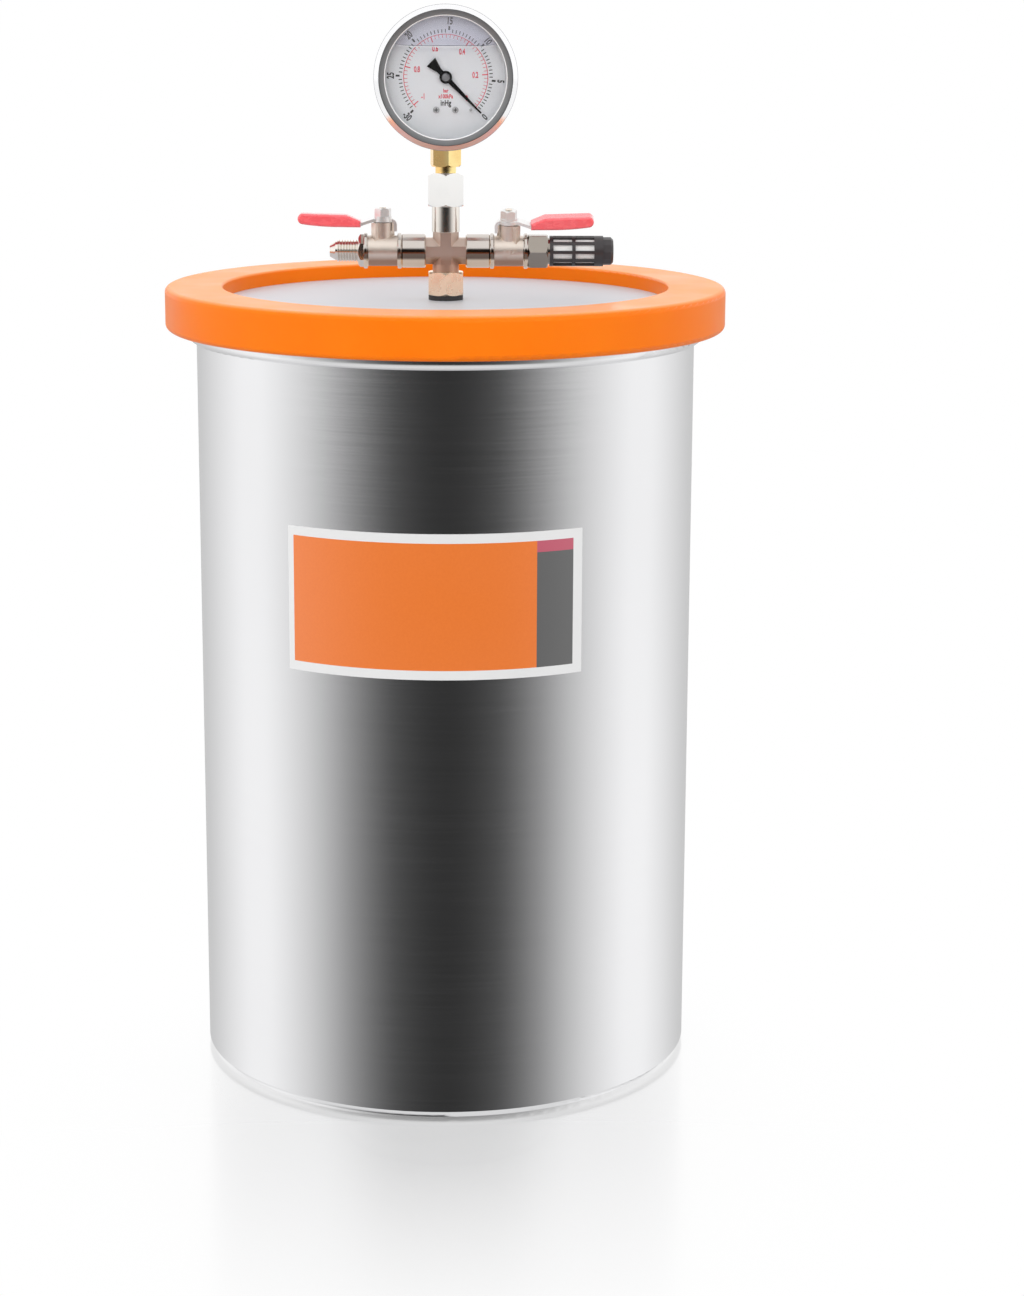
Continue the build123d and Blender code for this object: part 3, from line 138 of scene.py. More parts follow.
# Size cast on the right valve, in relief on the barrel
MARK_DROP = 1.3 * MM
MARK_SIZE = 6.2 * MM
MARK_NARROWING = 0.9
MARK_RELIEF = 0.55 * MM
MARK_ROOT = 0.6 * MM


# ---------------------------------------------------------------- materials
class Look:
    """A Principled material with short helpers for procedural detail."""

    def __init__(self, name, color=(0.8, 0.8, 0.8), **sockets):
        self.material = bpy.data.materials.new(name)
        self.material.use_nodes = True
        self.nodes = self.material.node_tree.nodes
        self.links = self.material.node_tree.links
        self.shader = self.nodes["Principled BSDF"]
        self.coords = self.nodes.new("ShaderNodeTexCoord").outputs["Object"]
        self.bump_chain = None
        self.shader.inputs["Base Color"].default_value = (*color, 1)
        for key, value in sockets.items():
            self.shader.inputs[key.replace("_", " ")].default_value = value

    def noise(self, scale, stretch=(1, 1, 1), detail=3.0, roughness=0.5):
        """A noise value in the object's own space; scale counts features per metre."""
        mapping = self.nodes.new("ShaderNodeMapping")
        mapping.inputs["Scale"].default_value = stretch
        self.links.new(self.coords, mapping.inputs["Vector"])
        texture = self.nodes.new("ShaderNodeTexNoise")
        texture.inputs["Scale"].default_value = scale
        texture.inputs["Detail"].default_value = detail
        texture.inputs["Roughness"].default_value = roughness
        self.links.new(mapping.outputs["Vector"], texture.inputs["Vector"])
        return texture.outputs["Fac"]

    def math(self, operation, first, second=None):
        """One math node; each value is a number or a socket."""
        node = self.nodes.new("ShaderNodeMath")
        node.operation = operation
        for socket, value in zip(node.inputs, (first, second)):
            if value is None:
                continue
            if isinstance(value, (int, float)):
                socket.default_value = value
            else:
                self.links.new(value, socket)
        return node.outputs[0]

    def distance(self, first, second):
        """How far a point lies from the middle, by its two offsets."""
        squares = [self.math("MULTIPLY", offset, offset) for offset in (first, second)]
        return self.math("SQRT", self.math("ADD", *squares))

    def blend(self, factor, first, second):
        """Mixes two colours (tuples or sockets) by a factor socket."""
        mix = self.nodes.new("ShaderNodeMix")
        mix.data_type = "RGBA"
        self.links.new(factor, mix.inputs["Factor"])
        for socket, value in ((mix.inputs["A"], first), (mix.inputs["B"], second)):
            if isinstance(value, tuple):
                socket.default_value = (*value, 1)
            else:
                self.links.new(value, socket)
        return mix.outputs["Result"]

    def remap(self, value, low, high, to_low, to_high):
        """Carries the range from low to high over to another range, held at its ends."""
        node = self.nodes.new("ShaderNodeMapRange")
        node.inputs["From Min"].default_value = low
        node.inputs["From Max"].default_value = high
        node.inputs["To Min"].default_value = to_low
        node.inputs["To Max"].default_value = to_high
        self.links.new(value, node.inputs["Value"])
        return node.outputs["Result"]

    def color(self, value):
        self.links.new(value, self.shader.inputs["Base Color"])

    def roughness(self, value, low, high):
        """Roughness from low to high over the middle range of a noise value."""
        self.links.new(self.remap(value, 0.3, 0.7, low, high), self.shader.inputs["Roughness"])

    def bump(self, value, strength, distance):
        """Adds a height to the surface; distance is in metres."""
        node = self.nodes.new("ShaderNodeBump")
        node.inputs["Strength"].default_value = strength
        node.inputs["Distance"].default_value = distance
        self.links.new(value, node.inputs["Height"])
        if self.bump_chain:
            self.links.new(self.bump_chain, node.inputs["Normal"])
        self.bump_chain = node.outputs["Normal"]
        self.links.new(self.bump_chain, self.shader.inputs["Normal"])

    def subsurface(self, weight, radius, scale):
        """Light that wanders a little way under the surface."""
        self.shader.inputs["Subsurface Weight"].default_value = weight
        self.shader.inputs["Subsurface Radius"].default_value = radius
        self.shader.inputs["Subsurface Scale"].default_value = scale

    def axes(self):
        """The point's own X, Y and Z as sockets."""
        split = self.nodes.new("ShaderNodeSeparateXYZ")
        self.links.new(self.coords, split.inputs["Vector"])
        return split.outputs["X"], split.outputs["Y"], split.outputs["Z"]

    def inside(self, value, low, high):
        """1 where the value lies between the two limits."""
        above = self.math("GREATER_THAN", value, low)
        below = self.math("LESS_THAN", value, high)
        return self.math("MULTIPLY", above, below)


def shaded(tint, share):
    """The same colour with each channel at a share of its value."""
    return tuple(channel * share for channel in tint)


def pot_steel():
    """Polished stainless steel with faint marks from turning."""
    look = Look("pot_steel", (0.80, 0.80, 0.81), Metallic=1.0, Roughness=0.17)
    rings = look.noise(260, (0.08, 0.08, 6.0), detail=4)
    clouds = look.noise(9, (1, 1, 0.5), detail=2)
    look.roughness(rings, 0.13, 0.21)
    look.color(look.blend(clouds, (0.76, 0.76, 0.77), (0.84, 0.84, 0.85)))
    look.bump(rings, 0.05, 0.04 * MM)
    return look.material


def silicone():
    """Orange silicone, with a painted highlight that makes its top face paler."""
    look = Look("silicone", (1.0, 0.2, 0.006), Roughness=0.34, Specular_IOR_Level=0.12)
    look.subsurface(0.2, (0.9, 0.2, 0.02), 4 * MM)
    fine = look.noise(1400, detail=4)
    broad = look.noise(26, detail=2)
    look.roughness(broad, 0.28, 0.42)
    _, _, z = look.axes()
    # Painted highlight: the top face turns paler and pinker
    top = look.remap(z, RING_TOP - 1.2 * MM, RING_TOP, 0.0, 1.0)
    body = look.blend(broad, (0.88, 0.172, 0.002), (0.94, 0.205, 0.004))
    look.color(look.blend(top, body, (0.93, 0.33, 0.10)))
    look.bump(fine, 0.12, 0.05 * MM)
    return look.material


def label_film():
    """White border, an orange field, a grey panel and a small red heading block."""
    look = Look("label_film", (0.9, 0.9, 0.9), Roughness=0.38, Coat_Weight=0.6, Coat_IOR=1.7)
    look.shader.inputs["Coat Roughness"].default_value = 0.12
    x, y, z = look.axes()
    turn = look.math("ARCTAN2", x, look.math("MULTIPLY", y, -1.0))
    turn = look.math("MULTIPLY", turn, math.degrees(1))
    radius = -LABEL_LOW.y
    left_edge = math.degrees(math.asin(LABEL_LOW.x / radius) + LABEL_LEFT_BORDER / radius)
    right_edge = math.degrees(math.asin(LABEL_HIGH.x / radius) - LABEL_RIGHT_BORDER / radius)
    panel_left = right_edge - math.degrees(LABEL_PANEL_WIDTH / radius)
    field_top = LABEL_HIGH.z - LABEL_BORDER
    height = look.inside(z, LABEL_LOW.z + LABEL_BORDER, field_top)
    orange = look.math("MULTIPLY", height, look.inside(turn, left_edge, panel_left))
    grey = look.math("MULTIPLY", height, look.inside(turn, panel_left, right_edge))
    over_panel = look.math("GREATER_THAN", z, field_top - LABEL_HEADING_HEIGHT)
    heading = look.math("MULTIPLY", grey, over_panel)
    grain = look.noise(900, detail=3)
    broad = look.noise(20, detail=2)
    base = look.blend(broad, (0.72, 0.72, 0.72), (0.77, 0.77, 0.77))
    base = look.blend(orange, base, look.blend(grain, (0.76, 0.168, 0.020), (0.81, 0.195, 0.026)))
    base = look.blend(grey, base, (0.105, 0.105, 0.105))
    base = look.blend(heading, base, (0.50, 0.09, 0.14))
    look.color(base)
    look.roughness(broad, 0.32, 0.44)
    look.bump(grain, 0.05, 0.02 * MM)
    return look.material


def milky_lid():
    """Thick clear sheet that lies hazy and pale in the soft light."""
    look = Look("lid_glass", (0.6, 0.6, 0.6), Roughness=0.4, Specular_IOR_Level=0.3)
    look.shader.inputs["Transmission Weight"].default_value = 0.12
    smears = look.noise(14, detail=3)
    look.color(look.blend(smears, (0.60, 0.61, 0.65), (0.66, 0.67, 0.71)))
    look.roughness(smears, 0.36, 0.46)
    return look.material


def window_glass():
    """Clear flat glass with hardly visible smears."""
    look = Look("window_glass", (1, 1, 1), Roughness=0.0, IOR=1.3)
    look.shader.inputs["Transmission Weight"].default_value = 1.0
    smears = look.noise(60, detail=2)
    look.roughness(smears, 0.0, 0.02)
    return look.material


NICKEL_TINT = (0.84, 0.79, 0.73)


def nickel(name="nickel", tint=NICKEL_TINT, low=0.09, high=0.16):
    """Plated brass, turned smooth."""
    look = Look(name, tint, Metallic=1.0, Roughness=0.2)
    grain = look.noise(2600, detail=4, roughness=0.6)
    broad = look.noise(160, detail=2)
    look.roughness(broad, low, high)
    look.color(look.blend(broad, shaded(tint, 0.9), tint))
    look.bump(grain, 0.12, 0.03 * MM)
    return look.material


def cast_nickel(name, cast_mask, cast_tint, painted_reflection_tint):
    """Plated brass, rough as cast where the mask says, and browner under the pipe from a painted reflection of the
    ring below.

    On the turned sleeves a painted reflection gives a dark band along the pipe, with a dull grey above and a warm
    tone below.
    """
    look = Look(name, (0.72, 0.66, 0.60), Metallic=1.0, Roughness=0.3)
    mask = cast_mask(look)
    grain = look.noise(1500, detail=5, roughness=0.65)
    broad = look.noise(160, detail=2)
    roughness = look.nodes.new("ShaderNodeMix")
    look.links.new(mask, roughness.inputs["Factor"])
    look.links.new(look.remap(broad, 0.3, 0.7, 0.12, 0.2), roughness.inputs["A"])
    look.links.new(look.remap(grain, 0.3, 0.7, 0.32, 0.5), roughness.inputs["B"])
    look.links.new(roughness.outputs["Result"], look.shader.inputs["Roughness"])
    _, _, z = look.axes()
    # Painted reflection: the cast parts turn browner under the pipe
    under = look.remap(z, PIPE_Z - 1.5 * MM, PIPE_Z - 4.5 * MM, 0.0, 1.0)
    # Painted reflection on the turned parts: dark band along the pipe, dull grey above, warm tone below
    painted_band_top = look.remap(z, PIPE_Z + 0.8 * MM, PIPE_Z + 1.8 * MM, 0.0, 1.0)
    painted_band_bottom = look.remap(z, PIPE_Z - 3.0 * MM, PIPE_Z - 4.2 * MM, 0.0, 1.0)
    turned = look.blend(painted_band_top, (0.20, 0.15, 0.12), (0.60, 0.55, 0.51))
    turned = look.blend(painted_band_bottom, turned, (0.95, 0.78, 0.62))
    upright_end = look.math("GREATER_THAN", z, PIPE_Z + CROSS_CAST_TOP)
    turned = look.blend(upright_end, turned, NICKEL_TINT)
    look.color(look.blend(mask, turned, look.blend(under, cast_tint, painted_reflection_tint)))
    look.bump(look.math("MULTIPLY", grain, mask), 0.5, 0.18 * MM)
    return look.material


def cross_cast(look):
    """Cast over the middle of the cross and up to the turned end of its upper arm."""
    x, _, z = look.axes()
    arm = look.inside(x, -CROSS_CAST_REACH, CROSS_CAST_REACH)
    return look.math("MULTIPLY", arm, look.math("LESS_THAN", z, PIPE_Z + CROSS_CAST_TOP))


def valve_cast(look):
    """Cast between the collars, along the pipe, and up the tower."""
    x, _, _ = look.axes()
    along = look.math("ABSOLUTE", look.math("SUBTRACT", look.math("ABSOLUTE", x), VALVE_X))
    return look.math("LESS_THAN", along, VALVE_CAST_REACH)


def brass(name="brass", tint=(0.94, 0.70, 0.30), right_tint=None):
    """Turned brass; with a second tint its colour changes across the middle of the chamber."""
    look = Look(name, tint, Metallic=1.0, Roughness=0.2)
    turning = look.noise(900, (0.3, 0.3, 5), detail=3)
    broad = look.noise(120, detail=2)
    base = tint
    if right_tint:
        x, _, _ = look.axes()
        base = look.blend(look.remap(x, -1.5 * MM, 1.5 * MM, 0.0, 1.0), tint, right_tint)
    look.color(look.blend(broad, shaded(tint, 0.86), base))
    look.roughness(turning, 0.14, 0.28)
    look.bump(turning, 0.08, 0.03 * MM)
    return look.material


def steel(name, tint=(0.78, 0.78, 0.78), low=0.16, high=0.3, metallic=1.0):
    """Brushed or plated steel."""
    look = Look(name, tint, Metallic=metallic, Roughness=low)
    brushed = look.noise(500, (6, 0.6, 0.6), detail=4)
    look.color(look.blend(brushed, shaded(tint, 0.9), tint))
    look.roughness(brushed, low, high)
    look.bump(brushed, 0.08, 0.03 * MM)
    return look.material


def chrome(name="bezel_chrome"):
    """Mirror chrome outside, with a painted reflection of the orange ring low down and a thin line of painted
    shade at the band's outer corner; the sloping inner band is satin dark with a white lip at the window.
    """
    look = Look(name, (0.86, 0.86, 0.87), Metallic=1.0, Roughness=0.06)
    x, _, z = look.axes()
    rise = look.math("SUBTRACT", z, DIAL_Z)
    reach = look.distance(x, rise)
    lip = look.math("LESS_THAN", reach, BEZEL_LIP_RADIUS)
    band = look.inside(reach, BEZEL_LIP_RADIUS, BEZEL_BAND_RADIUS)
    # Painted shade: a thin dark line where the satin band meets the mirror bevel
    corner = look.inside(reach, BEZEL_BAND_RADIUS, BEZEL_CORNER_RADIUS)
    rim = look.math("GREATER_THAN", reach, BEZEL_RIM_RADIUS)
    broad = look.noise(90, detail=3)
    fine = look.noise(1300, detail=3)
    mirror = look.blend(broad, (0.83, 0.83, 0.84), (0.88, 0.88, 0.89))
    # Painted reflection: the low side of the bezel takes the orange ring's warm tone
    warm = look.remap(rise, -20 * MM, -33 * MM, 0.0, 0.75)
    mirror = look.blend(warm, mirror, (1.0, 0.50, 0.34))
    mirror = look.blend(rim, mirror, (0.40, 0.40, 0.42))
    mirror = look.blend(corner, mirror, (0.08, 0.08, 0.09))
    shade = look.remap(reach, BEZEL_LIP_RADIUS, BEZEL_BAND_RADIUS, 1.0, 0.35)
    satin = look.blend(shade, (0.07, 0.073, 0.075), (0.20, 0.205, 0.21))
    look.color(look.blend(lip, look.blend(band, mirror, satin), (0.9, 0.9, 0.9)))
    painted = look.math("ADD", band, lip)
    low_side = look.remap(rise, -16 * MM, -24 * MM, 0.09, 0.36)
    dull = look.math("ADD", look.math("MULTIPLY", painted, 0.3), low_side)
    dull = look.math("ADD", dull, look.math("MULTIPLY", fine, 0.03))
    look.links.new(dull, look.shader.inputs["Roughness"])
    look.links.new(look.math("SUBTRACT", 1.0, painted), look.shader.inputs["Metallic"])
    return look.material


def red_vinyl():
    """Soft dipped coating, a little uneven."""
    look = Look("red_vinyl", (0.86, 0.09, 0.10), Roughness=0.25, Coat_Weight=0.4)
    look.subsurface(0.3, (0.8, 0.2, 0.2), 2 * MM)
    dip = look.noise(210, (1, 1, 2), detail=2)
    look.color(look.blend(dip, (0.86, 0.10, 0.12), (0.96, 0.17, 0.19)))
    look.roughness(dip, 0.2, 0.34)
    look.bump(dip, 0.12, 0.3 * MM)
    return look.material


def plastic(name, color, low=0.35, high=0.5, specular=0.5):
    """Plain moulded plastic, rubber or paint with a fine grain."""
    look = Look(name, color, Roughness=low, Specular_IOR_Level=specular)
    grain = look.noise(1600, detail=3)
    broad = look.noise(70, detail=2)
    lighter = tuple(min(1.0, channel * 1.15 + 0.004) for channel in color)
    look.color(look.blend(broad, color, lighter))
    look.roughness(grain, low, high)
    look.bump(grain, 0.2, 0.05 * MM)
    return look.material


def porous():
    """White sintered plastic, rough with open pores."""
    look = Look("porous_plastic", (0.80, 0.80, 0.78), Roughness=0.9)
    pores = look.noise(1500, detail=5, roughness=0.8)
    look.color(look.blend(pores, (0.72, 0.72, 0.71), (1.0, 1.0, 0.99)))
    look.bump(pores, 0.9, 0.4 * MM)
    return look.material


def dial_paint():
    """Bluish white enamel."""
    look = Look("dial_paint", (0.80, 0.82, 0.85), Roughness=0.45, Specular_IOR_Level=0.2)
    fine = look.noise(1800, detail=3)
    broad = look.noise(30, detail=2)
    look.color(look.blend(broad, (0.89, 0.91, 0.95), (0.95, 0.97, 1.0)))
    look.roughness(fine, 0.35, 0.55)
    look.bump(fine, 0.06, 0.02 * MM)
    return look.material


def tinted_film(name, tint):
    """A thin see-through sheet of painted shade that only darkens what lies behind it."""
    look = Look(name, tint, Roughness=0.1)
    clear = look.nodes.new("ShaderNodeBsdfTransparent")
    broad = look.noise(120, detail=2)
    paler = tuple(min(1.0, channel * 1.06) for channel in tint)
    look.links.new(look.blend(broad, tint, paler), clear.inputs["Color"])
    mix = look.nodes.new("ShaderNodeMixShader")
    mix.inputs["Fac"].default_value = FILM_CLEARNESS
    look.links.new(look.shader.outputs["BSDF"], mix.inputs[1])
    look.links.new(clear.outputs["BSDF"], mix.inputs[2])
    look.links.new(mix.outputs["Shader"], look.nodes["Material Output"].inputs["Surface"])
    return look.material


MATERIALS = {
    "pot_steel": pot_steel(),
    "label_film": label_film(),
    "silicone": silicone(),
    "lid_glass": milky_lid(),
    "black_rubber": plastic("black_rubber", (0.02, 0.02, 0.02), 0.5, 0.7),
    "nickel": nickel(),
    "zinc_steel": steel("zinc_steel", (0.86, 0.86, 0.85), 0.28, 0.42, 0.72),
    "red_vinyl": red_vinyl(),
    "ptfe": plastic("ptfe", (0.85, 0.85, 0.84)),
    "brass": brass(),
    "bronze": brass("bronze", (0.70, 0.42, 0.20)),
    "black_plastic": plastic("black_plastic", (0.030, 0.026, 0.028), 0.3, 0.45),
    "porous_plastic": porous(),
    "bezel_chrome": chrome(),
    "case_steel": steel("case_steel", (0.72, 0.72, 0.73), 0.2, 0.34),
    "window_glass": window_glass(),
    "dial_paint": dial_paint(),
    "pointer_paint": plastic("pointer_paint", (0.003, 0.003, 0.003), 0.35, 0.45, 0.15),
}

# The last tint is a painted reflection under the pipe
VALVE = cast_nickel("valve_nickel", valve_cast, (0.82, 0.73, 0.65), (0.48, 0.30, 0.22))
STEM = brass("stem_brass", (0.84, 0.74, 0.64))
SCREW = steel("screw_steel", (0.42, 0.42, 0.43), 0.35, 0.5)

# Nodes whose finish differs a little from the plain one of their slot, some of them by painted light
SPECIAL_FINISHES_AND_PAINTED_LIGHT = {
    # Its last tint is a painted reflection under the pipe
    "cross_fitting": cast_nickel("cross_nickel", cross_cast, (0.70, 0.575, 0.50), (0.56, 0.38, 0.29)),
    # Painted reflection: a lighter, warm copy of the nickel for the orange ring mirrored in it
    "lid_adapter": nickel("adapter_nickel", (1.0, 0.84, 0.64), 0.22, 0.32),
    "gauge_coupling": nickel("coupling_nickel", (1.0, 0.99, 0.97), 0.12, 0.2),
    # Painted shade: a darker copy of the nickel for the dark front mirrored in the hex
    "filter_adapter": nickel("filter_nickel", (0.37, 0.33, 0.29), 0.14, 0.22),
    "gauge_socket": brass("socket_brass", (1.0, 0.66, 0.26), (1.0, 0.88, 0.42)),
    "gauge_dial_screws": SCREW,
    "gauge_stop_pin": SCREW,
    "left_valve_body": VALVE,
    "right_valve_body": VALVE,
    "left_valve_stem": STEM,
    "right_valve_stem": STEM,
}

# Finishes of the pieces made here
# Black for the dial print, and the painted shade in the screws' cross recesses
INK_AND_SHADE_BLACK = plastic("ink_black", (0.015, 0.015, 0.018), 0.4, 0.55)
INK_RED = plastic("ink_red", (0.72, 0.05, 0.09), 0.4, 0.55)
CAP_GREY = steel("cap_grey", (0.20, 0.20, 0.21), 0.3, 0.45)
# Painted shade over the air pocket
POCKET_PAINTED_SHADE = tinted_film("pocket_tint", (0.92, 0.92, 0.96))
# Painted shade and painted highlight for the lines along the liquid's surface
LINE_PAINTED_SHADE = plastic("meniscus_dark", (0.16, 0.17, 0.22), 0.2, 0.3)
LINE_PAINTED_HIGHLIGHT = plastic("meniscus_light", (0.88, 0.89, 0.92), 0.2, 0.3)


def dress(obj, material):
    obj.data.materials.clear()
    obj.data.materials.append(material)


def dress_cad_nodes():
    """Gives each CAD node the finish of its slot in the record, or its own one."""
    slots = {part["node"]: part["material_slot"] for part in frame["record"]["subparts"]}
    for name, obj in frame["nodes"].items():
        dress(obj, SPECIAL_FINISHES_AND_PAINTED_LIGHT.get(name, MATERIALS[slots[name]]))


# ---------------------------------------------------------------- mesh helpers
def add_piece(name, bm, body, material):
    """Turns mesh work into a piece that rides on a body, dressed in one material."""
    bmesh.ops.recalc_face_normals(bm, faces=bm.faces)
    mesh = bpy.data.meshes.new(name)
    bm.to_mesh(mesh)
    bm.free()
    mesh.shade_flat()
    obj = bpy.data.objects.new(name, mesh)
    bpy.context.scene.collection.objects.link(obj)
    dress(obj, material)
    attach(obj, body)
    return obj


def join_loops(bm, loops):
    """Faces between closed loops that follow one another."""
    for first, second in zip(loops, loops[1:]):
        for number in range(len(first)):
            following = (number + 1) % len(first)
            bm.faces.new((first[number], first[following], second[following], second[number]))


def add_closed(bm, loops):
    """A closed body through a row of loops, with a face on each end."""
    join_loops(bm, loops)
    bm.faces.new(loops[0][::-1])
    bm.faces.new(loops[-1])


def add_slab(bm, outline, out):
    """A thin plate: an outline and its copy moved by out."""
    back = [bm.verts.new(corner) for corner in outline]
    front = [bm.verts.new(corner + out) for corner in outline]
    add_closed(bm, [back, front])


def circle_around_pipe(bm, x, radius_at, steps):
    """A loop round the pipe's line, with a radius for each share of the turn."""
    loop = []
    for number in range(steps):
        turn = 2 * math.pi * number / steps
        radius = radius_at(number / steps)
        loop.append(bm.verts.new((x, radius * math.cos(turn), PIPE_Z + radius * math.sin(turn))))
    return loop


def circle_around_gauge(bm, y, radius, steps=48):
    """A loop round the gauge's axis."""
    turns = [2 * math.pi * number / steps for number in range(steps)]
    return [bm.verts.new((radius * math.cos(t), y, DIAL_Z + radius * math.sin(t))) for t in turns]


# ---------------------------------------------------------------- dial print
def dial_point(radius, angle, lift=0.0):
    """A place on the dial: angle from +X towards +Z, lift off the dial's face."""
    turn = math.radians(angle)
    return Vector((radius * math.cos(turn), DIAL_FRONT - lift, DIAL_Z + radius * math.sin(turn)))


def add_bar(bm, start, end, width):
    """A thin printed bar on the dial from start to end."""
    across = (end - start).normalized().cross(Vector((0, 1, 0))) * (width / 2)
    corners = [start - across, start + across, end + across, end - across]
    add_slab(bm, corners, Vector((0, -INK_THICKNESS, 0)))


def add_mark(bm, angle, mark):
    inner, outer, width = mark
    add_bar(bm, dial_point(inner, angle), dial_point(outer, angle), width)


def add_arc(bm, radius, width, from_angle, to_angle, steps=96):
    angles = [from_angle + (to_angle - from_angle) * number / steps for number in range(steps + 1)]
    for first, second in zip(angles, angles[1:]):
        add_bar(bm, dial_point(radius, first), dial_point(radius, second), width)


def add_text(bm, body, place, size, turn=0.0, narrowing=0.62):
    """Adds lettering that faces the front, centred on a place and turned in its plane."""
    curve = bpy.data.curves.new("lettering", "FONT")
    curve.body = body
    curve.align_x = "CENTER"
    curve.align_y = "CENTER"
    curve.size = size
    curve.extrude = INK_THICKNESS / 2
    curve.offset = size * 0.03
    curve.resolution_u = 4
    holder = bpy.data.objects.new("lettering", curve)
    mesh = bpy.data.meshes.new_from_object(holder)
    facing = Matrix.Rotation(math.radians(90), 4, "X")
    spin = Matrix.Rotation(math.radians(-turn), 4, "Y")
    narrow = Matrix.Diagonal((narrowing, 1, 1, 1))
    mesh.transform(Matrix.Translation(place) @ spin @ facing @ narrow)
    bm.from_mesh(mesh)
    bpy.data.meshes.remove(mesh)
    bpy.data.objects.remove(holder)
    bpy.data.curves.remove(curve)


def add_unit(bm, text, drop, size):
    """A unit's name, level, straight below the dial's middle."""
    add_text(bm, text, dial_point(drop, -90, INK_THICKNESS / 2), size, 0, UNIT_NARROWING)


def inch_angle(value):
    """Where a vacuum in inches stands on the dial; the divisions crowd a little after the start."""
    share = value / INCHES
    crowding = SCALE_CROWDING * math.sin(math.pi * share**0.6)
    return SCALE_START + SCALE_SWEEP * share - crowding


def black_print():
    """Half-inch marks; the numbers stand outwards, but the last is turned to be read upright."""
    bm = bmesh.new()
    for half in range(2 * INCHES + 1):
        numbered = half % (2 * INCHES_PER_NUMBER) == 0
        add_mark(bm, inch_angle(half / 2), BLACK_MAIN_MARK if numbered else BLACK_MARK)
    for value in range(0, INCHES + 1, INCHES_PER_NUMBER):
        angle = inch_angle(value)
        place = dial_point(INCH_NUMBER_RADIUS, angle, INK_THICKNESS / 2)
        last = value == INCHES
        text = f"-{value}" if last else str(value)
        turn = angle + 90 if last else angle - 90
        add_text(bm, text, place, INCH_NUMBER_SIZE, turn, INCH_NUMBER_NARROWING)
    add_unit(bm, *BLACK_UNIT)
    add_piece("dial_inch_scale", bm, "chamber", INK_AND_SHADE_BLACK)


def red_print():
    """An arc with a mark for each fiftieth of a bar; its numbers all stand level."""
    bm = bmesh.new()
    add_arc(bm, RED_ARC_RADIUS, RED_ARC_WIDTH, SCALE_START, inch_angle(INCHES))
    for number in range(BAR_DIVISIONS + 1):
        angle = inch_angle(INCHES_PER_BAR * number / BAR_DIVISIONS)
        numbered = number % BAR_DIVISIONS_PER_NUMBER == 0
        add_mark(bm, angle, RED_MAIN_MARK if numbered else RED_MARK)
        if numbered:
            value = number / BAR_DIVISIONS
            text = {0: "0", 1: "-1"}.get(value, f"{value:.1f}")
            add_text(bm, text, dial_point(BAR_NUMBER_RADIUS, angle, INK_THICKNESS / 2), BAR_NUMBER_SIZE)
    for unit in RED_UNITS:
        add_unit(bm, *unit)
    add_piece("dial_bar_scale", bm, "chamber", INK_RED)


# ---------------------------------------------------------------- small parts of the gauge
def pointer_cap():
    """The grey cap pressed over the pointer's hub, raised in its middle over the spindle."""
    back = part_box("gauge_pointer")[0].y
    tip = min(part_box("gauge_pinion")[0].y, back) - CAP_COVER
    rings = (
        (back, 1.95 * MM),
        (back - 0.25 * MM, 1.95 * MM),
        (back - 0.35 * MM, 1.8 * MM),
        (back - 0.3 * MM, 1.45 * MM),
        (tip + 0.05 * MM, 1.2 * MM),
        (tip, 0.9 * MM),
    )
    bm = bmesh.new()
    add_closed(bm, [circle_around_gauge(bm, y, radius) for y, radius in rings])
    add_piece("pointer_cap", bm, "pointer", CAP_GREY)


def screw_crosses():
    """The cross recess in each screw head on the dial, drawn as flat black bars of painted shade."""
    low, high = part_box("gauge_dial_screws")
    head = (high.z - low.z) / 2
    reach = head * SLOT_SHARE_OF_HEAD
    bm = bmesh.new()
    for x in (low.x + head, high.x - head):
        centre = Vector((x, low.y, (low.z + high.z) / 2))
        for way in (Vector((1, 0, 0)), Vector((0, 0, 1))):
            add_bar(bm, centre - way * reach, centre + way * reach, SLOT_WIDTH)
    add_piece("dial_screw_crosses", bm, "chamber", INK_AND_SHADE_BLACK)


def air_pocket(steps=64):
    """The gap left above the damping liquid, drawn as a sheet of painted shade that makes a slightly darker
    segment behind the window.
    """
    start = math.asin(LEVEL / POCKET_RADIUS)
    outline = []
    for number in range(steps + 1):
        turn = start + (math.pi - 2 * start) * number / steps
        across, up = POCKET_RADIUS * math.cos(turn), POCKET_RADIUS * math.sin(turn)
        outline.append(Vector((across, WINDOW_BACK + POCKET_GAP, DIAL_Z + up)))
    bm = bmesh.new()
    add_slab(bm, outline, Vector((0, POCKET_THICKNESS, 0)))
    add_piece("gauge_air_pocket", bm, "chamber", POCKET_PAINTED_SHADE)


def liquid_line(name, drop, thickness, material, steps=48):
    """One painted line along the edge of the liquid's surface, bowed up a little where it meets the sides: the
    dark one is painted shade, the pale one a painted highlight.
    """
    front = WINDOW_BACK + LINE_GAP
    back = front + LINE_DEPTH
    half_width = math.sqrt(POCKET_RADIUS**2 - LEVEL**2) * LINE_SHARE
    bm = bmesh.new()
    loops = []
    for number in range(steps + 1):
        place = -1 + 2 * number / steps
        middle = DIAL_Z + LEVEL - drop + MENISCUS_RISE * abs(place) ** 9
        half = thickness * (1 - 0.75 * abs(place) ** 3) / 2
        corners = ((front, -half), (front, half), (back, half), (back, -half))
        loops.append([bm.verts.new((half_width * place, y, middle + rise)) for y, rise in corners])
    add_closed(bm, loops)
    add_piece(name, bm, "chamber", material)


